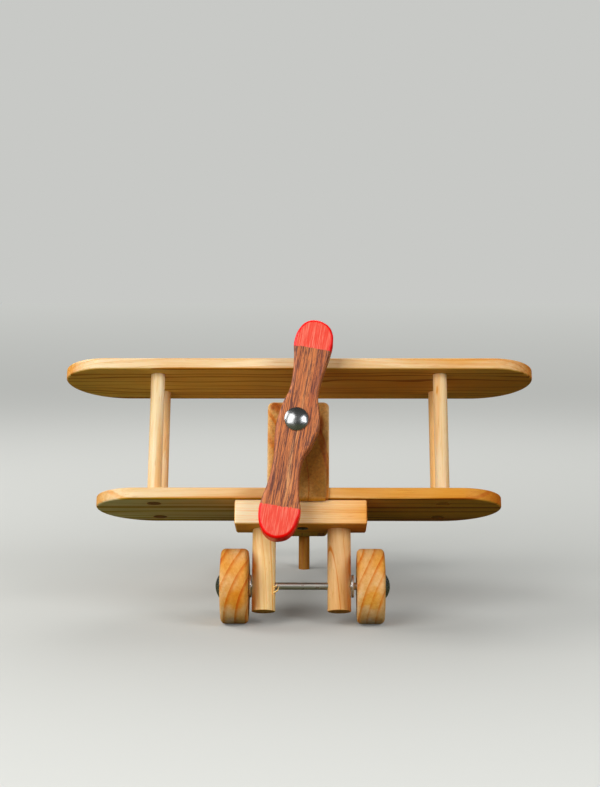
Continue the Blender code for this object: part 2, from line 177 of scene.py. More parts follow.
class NodeBench:
    """Short ways of adding and joining shader nodes in one material or world."""

    def __init__(self, owner: bpy.types.ID, shader: str = "Principled BSDF") -> None:
        """Start with the shader that Blender gives.

        Args:
            owner: The material or world.
            shader: Name of its shader node.
        """
        owner.use_nodes = True
        self.owner = owner
        self.tree = owner.node_tree
        self.shader = self.tree.nodes[shader]

    def feed(self, socket: Socket, value: object) -> None:
        """Join a value or another node's output to a socket.

        Args:
            socket: The input.
            value: A number, place, colour or output.
        """
        if isinstance(value, Socket):
            self.tree.links.new(value, socket)
        elif isinstance(value, (tuple, list)) and socket.type == "RGBA" and len(value) == 3:
            socket.default_value = (*value, 1.0)
        else:
            socket.default_value = value

    def node(self, kind: str, output: str | int, inputs: dict[str | int, object] | None = None,
             **settings: object) -> Socket:
        """Add a shader node.

        Args:
            kind: Its kind, without the word ShaderNode.
            output: Name or number of the output that is wanted.
            inputs: What its inputs get, by their names or numbers.
            settings: Its own settings.

        Returns:
            The output.
        """
        made = self.tree.nodes.new("ShaderNode" + kind)
        for key, value in settings.items():
            setattr(made, key, value)
        for key, value in (inputs or {}).items():
            self.feed(made.inputs[key], value)
        return made.outputs[output]

    def maths(self, operation: str, first: object, second: object = 0.0, third: object = 0.0,
              clamp: bool = False) -> Socket:
        """Add a Math node.

        Args:
            operation: Blender's name of the operation.
            first: First value or output.
            second: Second value or output.
            third: Third value or output.
            clamp: Whether the result stays from 0 to 1.

        Returns:
            The node's output.
        """
        return self.node("Math", 0, {0: first, 1: second, 2: third}, operation=operation,
                         use_clamp=clamp)

    def times(self, first: object, second: object, clamp: bool = False) -> Socket:
        """Product of two values or outputs."""
        return self.maths("MULTIPLY", first, second, clamp=clamp)

    def vector(self, operation: str, first: object, second: object = (0.0, 0.0, 0.0),
               output: str = "Vector") -> Socket:
        """Add a Vector Math node.

        Args:
            operation: Blender's name of the operation.
            first: First vector or output.
            second: Second vector or output.
            output: Vector or Value.

        Returns:
            The named output.
        """
        return self.node("VectorMath", output, {0: first, 1: second}, operation=operation)

    def length(self, vector: object) -> Socket:
        """Length of a vector."""
        return self.vector("LENGTH", vector, output="Value")

    def component(self, vector: object, axis: Axis) -> Socket:
        """One component of a vector."""
        return self.node("SeparateXYZ", axis.name, {"Vector": vector})

    def noise(self, where: object, stretch: Place, detail: float = 2.0, roughness: float = 0.5,
              output: str = "Fac") -> Socket:
        """Add a noise whose spots are stretched.

        Args:
            where: The place it is read at.
            stretch: Spots to a metre along each axis.
            detail: How many finer layers it has.
            roughness: How strong the finer layers are.
            output: Fac or Color.

        Returns:
            The node's output.
        """
        return self.node("TexNoise", output, {
            "Vector": self.vector("MULTIPLY", where, tuple(stretch)),
            "Scale": 1.0, "Detail": detail, "Roughness": roughness,
        })

    def swayed(self, where: object, stretch: Place, roughness: float, reach: float) -> Socket:
        """Let a place wander across the grain, as growing wood does.

        Args:
            where: The place in the grain's axes.
            stretch: Waves to a metre along each axis.
            roughness: How strong the finer waves are.
            reach: Widest sway, from one side to the other.

        Returns:
            The place after its sway.
        """
        sway = self.noise(where, stretch, 1.0, roughness, "Color")
        sway = self.vector("SUBTRACT", sway, (0.5, 0.5, 0.5))
        return self.vector("ADD", where, self.vector("MULTIPLY", sway, (0.0, reach, reach)))

    def step(self, value: object, low: float, high: float, bottom: float = 0.0, top: float = 1.0,
             smooth: bool = True) -> Socket:
        """Spread a range of values over another range, held at its ends.

        Args:
            value: The value or output to spread.
            low: Value that gives the bottom.
            high: Value that gives the top.
            bottom: Result at low.
            top: Result at high.
            smooth: Whether the ends are eased.

        Returns:
            The node's output.
        """
        return self.node("MapRange", "Result", {
            "Value": value, "From Min": low, "From Max": high, "To Min": bottom, "To Max": top,
        }, interpolation_type="SMOOTHSTEP" if smooth else "LINEAR", clamp=True)

    def ramp(self, value: object, stops: Sequence[tuple[float, Tone]]) -> Socket:
        """Add a colour ramp.

        Args:
            value: The value or output that it colours.
            stops: Place and colour of each stop.

        Returns:
            The colour.
        """
        colour = self.node("ValToRGB", "Color", {"Fac": value})
        band = colour.node.color_ramp
        while len(band.elements) < len(stops):
            band.elements.new(1.0)
        for stop, (where, shade) in zip(band.elements, stops):
            stop.position = where
            stop.color = (*shade, 1.0)
        return colour

    def mix(self, share: object, first: object, second: object, blend: str = "MIX") -> Socket:
        """Mix two colours.

        Args:
            share: Share of the second, from 0 to 1.
            first: First colour or output.
            second: Second colour or output.
            blend: Blender's name of the blend.

        Returns:
            The colour.
        """
        return self.node("Mix", 2, {"Factor": share, 6: first, 7: second}, data_type="RGBA",
                         blend_type=blend)

    def tint(self, share: object, colour: object, stain: object) -> Socket:
        """A colour multiplied by another colour, by a share."""
        return self.mix(share, colour, stain, "MULTIPLY")

    def laid(self, heart: Vector, turn: Euler) -> Socket:
        """Object place read in a grain's own axes, measured from its heart.

        Args:
            heart: A place on the log's heart line, above the floor.
            turn: Turn of the grain's axes.

        Returns:
            The place in the grain's axes, X along the grain.
        """
        return self.node("Mapping", "Vector", {
            "Vector": self.node("TexCoord", "Object"), "Location": heart, "Rotation": turn,
        }, vector_type="TEXTURE")

    def facing(self, direction: Vector, both: bool = True) -> Socket:
        """How squarely the surface faces a direction.

        Args:
            direction: The direction above the floor.
            both: Whether its back counts as much as its front.

        Returns:
            The share, from 0 to 1.
        """
        normal = self.node("TexCoord", "Normal")
        square = self.vector("DOT_PRODUCT", normal, tuple(direction.normalized()), "Value")
        return self.maths("ABSOLUTE" if both else "MAXIMUM", square)

    def bump(self, height: object, strength: float, distance: float) -> None:
        """Give the shader a fine relief.

        Args:
            height: The relief, as an output.
            strength: How strongly it shows, from 0 to 1.
            distance: Metres that a height of 1 stands for.
        """
        self.settle(Normal=self.node("Bump", "Normal", {
            "Strength": strength, "Distance": distance, "Height": height,
        }))

    def settle(self, **sockets: object) -> bpy.types.ID:
        """Set the shader's sockets and hand over what it belongs to.

        Args:
            sockets: Values or outputs by socket name, with _ for each blank.

        Returns:
            The material or world.
        """
        for key, value in sockets.items():
            self.feed(self.shader.inputs[key.replace("_", " ")], value)
        return self.owner


@dataclass(frozen=True)
class Mark:
    """A spot in the wood's colour: resin, a small knot, more oil, a patch of painted shade or a
    patch of painted light.

    Args:
        place: Its middle, in body axes.
        radius: Its reach across the grain.
        tint: What the colour is multiplied by in its middle.
        stretch: How many times longer it is along the grain.
        tall: How many times longer it is along the grain's own Z.
    """

    place: Triple
    radius: float
    tint: Tone
    stretch: float = 2.5
    tall: float = 1.0


@dataclass(frozen=True)
class PineFinish:
    """Oiled pine: growth rings about a heart line, fine fibres and thirsty end grain, with painted
    shade on faces that look down.

    Args:
        run: Which way the grain runs.
        heart: A place on the log's heart line, in body axes.
        ring_gap: Mean distance from ring to ring.
        ring_strength: How strongly the late wood shows, from 0 to 1.
        amber: How much the oil has warmed it in the middle, from 0 to 1.
        blush: How much warmer and darker it gets for each metre towards the pilot's left: partly the
            wood's own tone, partly painted shade on the side away from the key light.
        drift: How far the rings wander.
        lean: Small turn of the grain, in degrees.
        late_share: Share of each ring that is late wood.
        uneven: How much the rings differ in width.
        phase: Where the first ring starts, as a share of a ring.
        spread: How much the oil's warmth varies over the piece.
        stain: What the whole piece's colour is multiplied by: painted light where it brightens the
            pine, painted shade where it darkens it.
        end_tone: What the end grain's colour is multiplied by.
        end_depth: How deeply the end grain has darkened, from 0 to 1.
        under_depth: How deeply painted shade darkens the faces that look down, from 0 to 1.
        under_oil: What their early wood's colour is multiplied by, as painted shade.
        under_late: What their late wood's colour is multiplied by, as painted shade.
        under_lines: How many times more strongly their late wood shows.
        marks: Spots in the wood, and patches of painted shade and painted light.
    """

    run: Run
    heart: Triple
    ring_gap: float = 0.005
    ring_strength: float = 0.8
    amber: float = 0.35
    blush: float = 0.0
    drift: float = 0.0016
    lean: Triple = (0.0, 0.0, 0.0)
    late_share: float = 0.38
    uneven: float = 1.1
    phase: float = 0.0
    spread: float = 0.16
    stain: Tone = CLEAN
    end_tone: Tone = tone(238, 184, 80)
    end_depth: float = 0.8
    # Painted shade: these three darken faces that look down and tint them olive.
    under_depth: float = 0.9
    under_oil: Tone = tone(246, 208, 50)
    under_late: Tone = tone(176, 128, 10)
    under_lines: float = 1.0
    marks: tuple[Mark, ...] = ()

    slot = Slot.PINE
    EARLY_PALE = tone(241, 223, 187)
    EARLY_AMBER = tone(218, 150, 54)
    LATE_PALE = tone(238, 176, 84)
    LATE_AMBER = tone(198, 100, 18)
    FIBRE_DARK = (0.90, 0.76, 0.53)
    FIBRE_LIGHT = (1.06, 1.10, 1.16)
    DUCT = (0.82, 0.66, 0.46)

    def rings(self, bench: NodeBench, grown: Socket) -> Socket:
        """Share of late wood at a place.

        Args:
            bench: The material's bench.
            grown: The place in the grain's axes, already swayed.

        Returns:
            The share, from 0 to 1.
        """
        radius = bench.length(bench.vector("MULTIPLY", grown, (0.0, 1.0, 1.0)))
        count = bench.maths("MULTIPLY_ADD", radius, 1.0 / self.ring_gap, self.phase)
        width = bench.node("TexNoise", "Fac", {"W": bench.times(count, 0.55), "Detail": 0.0},
                           noise_dimensions="1D")
        count = bench.maths("MULTIPLY_ADD", width, self.uneven, count)
        band = bench.maths("FRACT", count)
        year = bench.node("TexWhiteNoise", "Value", {"W": bench.maths("FLOOR", count)},
                          noise_dimensions="1D")
        rise = bench.step(band, 1.0 - 1.4 * self.late_share, 0.95)
        late = bench.times(rise, bench.step(band, 0.95, 1.0, 1.0, 0.0))
        late = bench.times(late, bench.step(year, 0.0, 1.0, 0.6, 1.0, smooth=False))
        broken = bench.noise(grown, (16.0, 240.0, 240.0))
        late = bench.times(late, bench.step(broken, 0.25, 0.7, 0.55, 1.0))
        return bench.times(late, self.ring_strength, clamp=True)

    def marked(self, bench: NodeBench, wood: Socket, where: Socket, turn: Euler) -> Socket:
        """Put the marks into the wood's colour.

        Args:
            bench: The material's bench.
            wood: The colour so far.
            where: The place in the grain's axes.
            turn: Turn of the grain's axes.

        Returns:
            The colour with its marks.
        """
        for mark in self.marks:
            middle = turn.to_matrix().inverted() @ (AXES.place(mark.place) - AXES.place(self.heart))
            across = 1.0 / mark.radius
            apart = bench.vector("MULTIPLY", bench.vector("SUBTRACT", where, middle),
                                 (across / mark.stretch, across, across / mark.tall))
            ragged = bench.noise(apart, (1.6, 1.6, 1.6))
            reach = bench.maths("ADD", bench.length(apart), ragged)
            wood = bench.tint(bench.step(reach, 0.85, 1.5, 1.0, 0.0), wood, mark.tint)
        return wood

    def material(self, name: str) -> bpy.types.Material:
        """Make the finish for one piece.

        Args:
            name: The piece's name.

        Returns:
            Its material.
        """
        bench = NodeBench(bpy.data.materials.new(name + "_pine"))
        turn = AXES.grain_turn(self.run.value, self.lean)
        where = bench.laid(AXES.place(self.heart), turn)
        grown = bench.swayed(where, (9.0, 34.0, 34.0), 0.45, self.drift * 4.0)
        # Faces that look down carry painted shade: darker and more olive.
        down = bench.facing(AXES.way((0.0, 0.0, -1.0)), both=False)
        under = bench.step(down, 0.25, 0.85, 0.0, self.under_depth)
        lines = bench.maths("MULTIPLY_ADD", under, self.under_lines - 1.0, 1.0)
        late = bench.times(self.rings(bench, grown), lines, clamp=True)

        clouds = bench.noise(where, (9.0, 40.0, 40.0))
        warmth = bench.step(clouds, 0.3, 0.7, self.amber - self.spread, self.amber + self.spread)
        # Warmer and darker towards the pilot's left: partly the wood's own tone, partly painted
        # shade on the side away from the key light.
        leftward = bench.component(bench.node("TexCoord", "Object"), Axis.X)
        warmth = bench.maths("MULTIPLY_ADD", leftward, self.blush, warmth, clamp=True)
        wood = bench.mix(late, bench.mix(warmth, self.EARLY_PALE, self.EARLY_AMBER),
                         bench.mix(warmth, self.LATE_PALE, self.LATE_AMBER))

        fibres = bench.noise(grown, (40.0, 1100.0, 1100.0), 3.0, 0.7)
        threads = bench.noise(grown, (14.0, 420.0, 420.0), 1.0)
        grain = bench.maths("MULTIPLY_ADD", bench.step(threads, 0.3, 0.7), 0.45,
                            bench.step(fibres, 0.28, 0.72, 0.0, 0.55, smooth=False))
        wood = bench.tint(1.0, wood, bench.mix(grain, self.FIBRE_DARK, self.FIBRE_LIGHT))
        ducts = bench.noise(where, (80.0, 2100.0, 2100.0), 1.0)
        wood = bench.tint(bench.step(ducts, 0.66, 0.76), wood, self.DUCT)
        # Whole-piece multiplier: painted light where it brightens the pine, painted shade where it
        # darkens it.
        if self.stain != CLEAN:
            wood = bench.tint(1.0, wood, self.stain)
        wood = self.marked(bench, wood, where, turn)

        square = bench.facing(AXES.way(self.run.value[0]))
        end = bench.step(square, 0.35, 0.95, 0.0, self.end_depth)
        cells = bench.noise(where, (240.0, 560.0, 560.0), 2.0, 0.7)
        wood = bench.tint(end, wood, self.end_tone)
        wood = bench.tint(end, wood, bench.step(cells, 0.3, 0.7, 0.74, 1.16, smooth=False))
        # Painted shade on faces that look down: early and late wood multiplied by their darker,
        # olive tones.
        wood = bench.tint(under, wood, bench.mix(late, self.under_oil, self.under_late))

        bench.bump(bench.maths("SUBTRACT", fibres, bench.times(late, 0.35)), 0.35, 0.00035)
        return bench.settle(
            Base_Color=wood, Roughness=bench.step(fibres, 0.2, 0.8, 0.44, 0.62, smooth=False),
            Specular_IOR_Level=0.12, Coat_Weight=0.02, Coat_Roughness=0.30,
            Subsurface_Weight=0.14, Subsurface_Radius=(1.0, 0.42, 0.14), Subsurface_Scale=0.0012,
        )


@dataclass(frozen=True)
class BladeFinish:
    """Dark propeller wood with open pores, its two tips brushed with red paint.

    Args:
        hub: The hub's place, in body axes, at mid thickness.
        tilt: Turn of the blade from upright, in radians.
        paint_up: Distance from the hub to the upper tip's paint.
        paint_down: Distance from the hub to the lower tip's paint.
    """

    hub: Triple
    tilt: float
    paint_up: float
    paint_down: float

    slot = Slot.PROPELLER_WOOD
    PORE = tone(48, 24, 20)
    STREAK_DARK = tone(88, 48, 46)
    WOOD_DEEP = tone(172, 88, 52)
    WOOD_WARM = tone(208, 122, 68)
    WOOD_LIGHT = tone(222, 154, 100)
    PAINT_FACE = tone(236, 66, 46)
    PAINT_STROKE = tone(248, 142, 118)
    # Deep red on the tips' rounded edges: partly paint pooled there, partly a painted highlight
    # where light catches the edge.
    PAINT_RIM = tone(252, 0, 0)
    PAINT_EDGE = 0.0002
    PAINT_RAGGED = 0.0004

    def cover(self, bench: NodeBench, where: Socket, flat: Socket) -> Socket:
        """Share of paint at a place: both tips, worn through in patches on their sides.

        Args:
            bench: The material's bench.
            where: The place in the blade's axes, X up the blade.
            flat: How much the place belongs to the blade's front or back face.

        Returns:
            The share, from 0 to 1.
        """
        ragged = bench.noise(where, (300.0, 700.0, 700.0))
        ragged = bench.step(ragged, 0.3, 0.7, -self.PAINT_RAGGED, self.PAINT_RAGGED, smooth=False)
        edge = bench.maths("ADD", bench.component(where, Axis.X), ragged)
        upper = bench.step(edge, self.paint_up - self.PAINT_EDGE, self.paint_up + self.PAINT_EDGE)
        lower = bench.step(edge, -self.paint_down - self.PAINT_EDGE,
                           -self.paint_down + self.PAINT_EDGE, 1.0, 0.0)
        tips = bench.maths("ADD", upper, lower, clamp=True)
        patchy = bench.noise(where, (160.0, 160.0, 420.0), 3.0, 0.6)
        fade = bench.step(bench.component(where, Axis.Z), -0.0058, 0.0040, -0.40, 0.08,
                          smooth=False)
        bare = bench.step(bench.maths("ADD", patchy, fade), 0.50, 0.64)
        on_side = bench.times(bare, bench.maths("SUBTRACT", 1.0, flat))
        return bench.times(tips, bench.maths("SUBTRACT", 1.0, on_side), clamp=True)

    def material(self, name: str) -> bpy.types.Material:
        """Make the finish for the propeller.

        Args:
            name: The piece's name.

        Returns:
            Its material.
        """
        sine, cosine = math.sin(self.tilt), math.cos(self.tilt)
        columns = ((sine, 0.0, cosine), (cosine, 0.0, -sine), (0.0, 1.0, 0.0))
        bench = NodeBench(bpy.data.materials.new(name + "_rosewood"))
        where = bench.laid(AXES.place(self.hub), AXES.grain_turn(columns))
        grown = bench.swayed(where, (14.0, 60.0, 60.0), 0.5, 0.006)

        wood = bench.ramp(bench.noise(grown, (9.0, 150.0, 90.0), 3.0, 0.6), (
            (0.28, self.WOOD_DEEP), (0.45, self.WOOD_WARM), (0.58, self.WOOD_WARM),
            (0.72, self.WOOD_LIGHT),
        ))
        streaks = bench.noise(grown, (34.0, 1500.0, 1500.0), 4.0, 0.72)
        wood = bench.mix(bench.step(streaks, 0.46, 0.57, 0.0, 0.90), wood, self.STREAK_DARK)
        pits = bench.step(bench.noise(where, (200.0, 2400.0, 2400.0), 1.0), 0.58, 0.70)
        wood = bench.mix(bench.times(pits, 0.6), wood, self.PORE)

        flat = bench.step(bench.facing(AXES.way((0.0, 1.0, 0.0))), 0.94, 0.999)
        cover = self.cover(bench, where, flat)
        strokes = bench.noise(where, (70.0, 1300.0, 300.0), 3.0, 0.6)
        brushed = bench.times(bench.step(strokes, 0.42, 0.72), 0.75)
        paint = bench.mix(brushed, self.PAINT_FACE, self.PAINT_STROKE)
        # The rounded edges take the rim red: partly pooled paint, partly a painted highlight.
        colour = bench.mix(cover, wood, bench.mix(flat, self.PAINT_RIM, paint))

        rough = bench.times(bench.maths("SUBTRACT", 1.0, cover),
                            bench.step(streaks, 0.3, 0.7, 0.38, 0.60, smooth=False))
        rough = bench.maths("ADD", rough, bench.times(cover, 0.36))
        relief = bench.maths("ADD", bench.times(pits, -0.8), bench.times(streaks, 0.4))
        relief = bench.times(relief, bench.step(cover, 0.0, 1.0, 1.0, 0.35, smooth=False))
        bench.bump(bench.maths("ADD", relief, bench.times(strokes, cover)), 0.45, 0.0004)
        return bench.settle(Base_Color=colour, Roughness=rough, Specular_IOR_Level=0.30,
                            Coat_Weight=0.05, Coat_Roughness=0.25)


@dataclass(frozen=True)
class MetalFinish:
    """A metal with a fine surface and some marks.

    Args:
        slot: The record's finish that it stands for; not used.
        colour: The clean metal's colour.
        roughness: Lowest and highest roughness.
        stain: Colour of its spots.
        stain_share: How much of it is spotted, from 0 to 1.
        drawn: Whether its marks run along X, as on a drawn rod.
        dents: How deep its shallow dents are, in metres.
    """

    slot: Slot
    colour: Tone
    roughness: Pair
    stain: Tone
    stain_share: float
    drawn: bool = False
    dents: float = 0.0

    def material(self, name: str) -> bpy.types.Material:
        """Make the finish for one piece.

        Args:
            name: The piece's name.

        Returns:
            Its material.
        """
        bench = NodeBench(bpy.data.materials.new(name + "_metal"))
        where = bench.node("TexCoord", "Object")
        stretch = (60.0, 2600.0, 2600.0) if self.drawn else (900.0, 900.0, 900.0)
        marks = bench.noise(where, stretch, 3.0, 0.6)
        spots = bench.noise(where, (260.0, 520.0, 520.0), 3.0, 0.6)
        spotted = bench.step(spots, 0.72 - self.stain_share, 0.78 - self.stain_share * 0.6)
        tarnish = bench.mix(bench.step(marks, 0.3, 0.7, 0.0, 0.35, smooth=False), self.colour,
                            tuple(c * 0.62 for c in self.colour))
        colour = bench.mix(bench.times(spotted, 0.8), tarnish, self.stain)
        rough = bench.step(marks, 0.25, 0.75, *self.roughness, smooth=False)
        rough = bench.maths("ADD", rough, bench.times(spotted, 0.25))
        dents = bench.times(bench.noise(where, (190.0, 190.0, 190.0), 0.0), self.dents)
        bench.bump(bench.maths("MULTIPLY_ADD", marks, 0.00001, dents), 1.0, 1.0)
        return bench.settle(Base_Color=colour, Roughness=rough, Metallic=1.0)


STEEL = MetalFinish(Slot.STEEL, (0.68, 0.65, 0.60), (0.27, 0.45), tone(112, 62, 38), 0.09, True)
ZINC = MetalFinish(Slot.ZINC, (0.84, 0.84, 0.82), (0.24, 0.40), tone(150, 148, 140), 0.03)
CHROME = MetalFinish(Slot.CHROME, (0.35, 0.36, 0.37), (0.23, 0.31), tone(90, 90, 88), 0.01,
                     dents=0.0004)
BLACKENED = MetalFinish(Slot.STEEL, (0.04, 0.04, 0.045), (0.22, 0.36), tone(60, 50, 40), 0.02)

Finish = PineFinish | BladeFinish | MetalFinish


def near(value: float, target: float, reach: float = 0.00002) -> bool:
    """Whether a number is within reach of another."""
    return abs(value - target) < reach


def at(axis: Axis, *places: float) -> Test:
    """Test for what has its middle at one of some places on an axis."""
    return lambda mid, way: any(near(mid[axis], place) for place in places)


def along(axis: Axis) -> Test:
    """Test for edges that run along an axis."""
    return lambda mid, way: abs(way[axis]) > 0.9


def across(axis: Axis) -> Test:
    """Test for edges that run across an axis."""
    return lambda mid, way: abs(way[axis]) < 0.1


def all_of(*tests: Test) -> Test:
    """Test for what passes several tests."""
    return lambda mid, way: all(test(mid, way) for test in tests)


class Workpiece:
    """One piece on the bench: a mesh shaped level in body axes, with its object at the origin."""

    def __init__(self, name: str) -> None:
        """Take up the object that an operator has just added.

        Args:
            name: The piece's name.
        """
        self.obj = bpy.context.active_object
        self.obj.name = name
        self.obj.data.name = name
        self.select()
        bpy.ops.object.transform_apply(location=True, rotation=True, scale=True)

    @property
    def name(self) -> str:
        """The piece's name."""
        return self.obj.name

    @classmethod
    def box(cls, name: str, centre: Place, size: Place) -> "Workpiece":
        """Start a piece from a box.

        Args:
            name: The piece's name.
            centre: Its middle.
            size: Its length along each axis.

        Returns:
            The new piece.
        """
        bpy.ops.object.select_all(action="DESELECT")
        bpy.ops.mesh.primitive_cube_add(size=1.0, location=centre, scale=size)
        return cls(name)

    @classmethod
    def rod(cls, name: str, radius: float, start: Place, end: Place, sides: int = 48,
            end_radius: float | None = None) -> "Workpiece":
        """Start a piece from a rod or cone between two places.

        Args:
            name: The piece's name.
            radius: Radius at the start.
            start: Middle of the first end.
            end: Middle of the second end.
            sides: How many sides it has.
            end_radius: Radius at the end, if it isn't the same.

        Returns:
            The new piece.
        """
        first, last = Vector(start), Vector(end)
        run = last - first
        bpy.ops.object.select_all(action="DESELECT")
        bpy.ops.mesh.primitive_cone_add(
            vertices=sides, radius1=radius, radius2=radius if end_radius is None else end_radius,
            depth=run.length, location=(first + last) / 2.0,
            rotation=run.to_track_quat("Z", "Y").to_euler(),
        )
        return cls(name)

    def select(self) -> None:
        """Make this the only selected object, and the active one."""
        bpy.ops.object.select_all(action="DESELECT")
        self.obj.select_set(True)
        bpy.context.view_layer.objects.active = self.obj

    @contextmanager
    def editing(self) -> Iterator[None]:
        """Hold the piece in edit mode with nothing picked."""
        self.select()
        bpy.ops.object.mode_set(mode="EDIT")
        bpy.ops.mesh.select_all(action="DESELECT")
        yield
        bpy.ops.object.mode_set(mode="OBJECT")

    def pick(self, part: Part, wanted: Test) -> int:
        """Pick corners, edges or faces in edit mode by their middle and direction.

        Args:
            part: What is picked.
            wanted: Test of a middle and of a normal, or of an edge's direction.

        Returns:
            How many were picked.
        """
        bpy.ops.mesh.select_mode(type=part.value)
        bpy.ops.mesh.select_all(action="DESELECT")
        shape = bmesh.from_edit_mesh(self.obj.data)
        shape.normal_update()
        picked = []
        if part is Part.CORNERS:
            picked = [v for v in shape.verts if wanted(v.co, v.normal)]
        elif part is Part.EDGES:
            for edge in shape.edges:
                first, last = (v.co for v in edge.verts)
                if wanted((first + last) / 2.0, (last - first).normalized()):
                    picked.append(edge)
        else:
            picked = [f for f in shape.faces if wanted(f.calc_center_median(), f.normal)]
        for item in picked:
            item.select_set(True)
        shape.select_flush_mode()
        bmesh.update_edit_mesh(self.obj.data)
        return len(picked)

    def slice(self, place: Place, normal: Place, trim: bool = False) -> None:
        """Saw through the piece at a plane, in edit mode.

        Args:
            place: A place on the plane.
            normal: The plane's normal.
            trim: Whether what lies behind the plane falls off and the cut is closed.
        """
        bpy.ops.mesh.select_all(action="SELECT")
        bpy.ops.mesh.bisect(plane_co=place, plane_no=normal, use_fill=trim, clear_inner=trim)

    def round_edges(self, wanted: Test, width: float, segments: int) -> None:
        """Round the edges that pass a test.

        Args:
            wanted: Test of an edge's middle and direction.
            width: Radius of the rounding.
            segments: Steps in it.
        """
        with self.editing():
            count = self.pick(Part.EDGES, wanted)
            bpy.ops.mesh.bevel(offset=width, segments=segments, affect="EDGES", profile=0.5)
            bpy.ops.mesh.select_all(action="SELECT")
            bpy.ops.mesh.remove_doubles(threshold=0.000004)
        if count == 0:
            LOG.warning("%s: no edge was found to round", self.name)

    def modify(self, kind: str, **settings: object) -> None:
        """Add a modifier and apply it.

        Args:
            kind: Blender's name of its kind.
            settings: Its settings.
        """
        made = self.obj.modifiers.new(kind.lower(), kind)
        for key, value in settings.items():
            setattr(made, key, value)
        self.select()
        bpy.ops.object.modifier_apply(modifier=made.name)

    def round_all(self, width: float, segments: int) -> None:
        """Round every edge that turns by more than 40 degrees."""
        self.modify("BEVEL", width=width, segments=segments, limit_method="ANGLE",
                    angle_limit=math.radians(40.0))

    def join(self, operation: str, other: "Workpiece") -> None:
        """Cut or join another piece by a Boolean, and put that piece away.

        Args:
            operation: DIFFERENCE or UNION.
            other: The other piece.
        """
        self.modify("BOOLEAN", operation=operation, solver="EXACT", object=other.obj)
        bpy.data.objects.remove(other.obj, do_unlink=True)

    def cut(self, cutter: "Workpiece") -> None:
        """Take a cutter's shape out of the piece."""
        self.join("DIFFERENCE", cutter)

    def bore(self, radius: float, start: Place, end: Place, sides: int = 48) -> None:
        """Bore a round hole from one place to another."""
        self.cut(Workpiece.rod("drill", radius, start, end, sides))

    def finish(self, finish: Finish, body: str = "airframe", smooth: float = 35.0) -> None:
        """Park the piece, shade it, dress it and hang it on its body in its node's place.

        Args:
            finish: What dresses it.
            body: The body that it rides on.
            smooth: Angle up to which faces shade as one, in degrees.
        """
        with self.editing():
            bpy.ops.mesh.select_all(action="SELECT")
            bpy.ops.mesh.normals_make_consistent(inside=False)
        self.obj.data.transform(AXES.matrix())
        self.select()
        bpy.ops.object.shade_smooth_by_angle(angle=math.radians(smooth))
        self.modify("WEIGHTED_NORMAL", mode="FACE_AREA", weight=80, keep_sharp=True)
        self.obj.data.materials.clear()
        self.obj.data.materials.append(finish.material(self.name))
        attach(self.obj, body)
        node = self.name.rsplit("_", 1)[0]
        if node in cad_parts:
            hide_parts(node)
        LOG.info("%s: %d faces on %s", self.name, len(self.obj.data.polygons), body)


@dataclass(frozen=True)
class Board:
    """A flat board with rounded tips and softened edges, before it is drilled.

    Args:
        name: The piece's name.
        span: Length from tip to tip.
        chord: Depth from front to back.
        thickness: Thickness.
        front_radius: Radius of the front of each tip.
        front: Y of its front edge.
        underside: Z of its underside.
        edge_round: Radius of its softened edges.
        tip_flat: What stays straight between a tip's two roundings.
    """

    name: str
    span: float
    chord: float
    thickness: float
    front_radius: float
    front: float
    underside: float
    edge_round: float = 0.0014
    tip_flat: float = 0.00006

    def make(self) -> Workpiece:
        """Saw the board out of a box and soften its edges.

        Returns:
            The board.
        """
        centre = (0.0, self.front + self.chord / 2.0, self.underside + self.thickness / 2.0)
        board = Workpiece.box(self.name, centre, (self.span, self.chord, self.thickness))
        rear_radius = self.chord - self.front_radius - self.tip_flat
        back = self.front + self.chord
        board.round_edges(all_of(along(Axis.Z), at(Axis.Y, self.front)), self.front_radius, 22)
        board.round_edges(all_of(along(Axis.Z), at(Axis.Y, back)), rear_radius, 26)
        faces = at(Axis.Z, self.underside + self.thickness, self.underside)
        board.round_edges(all_of(across(Axis.Z), faces), self.edge_round, 5)
        return board


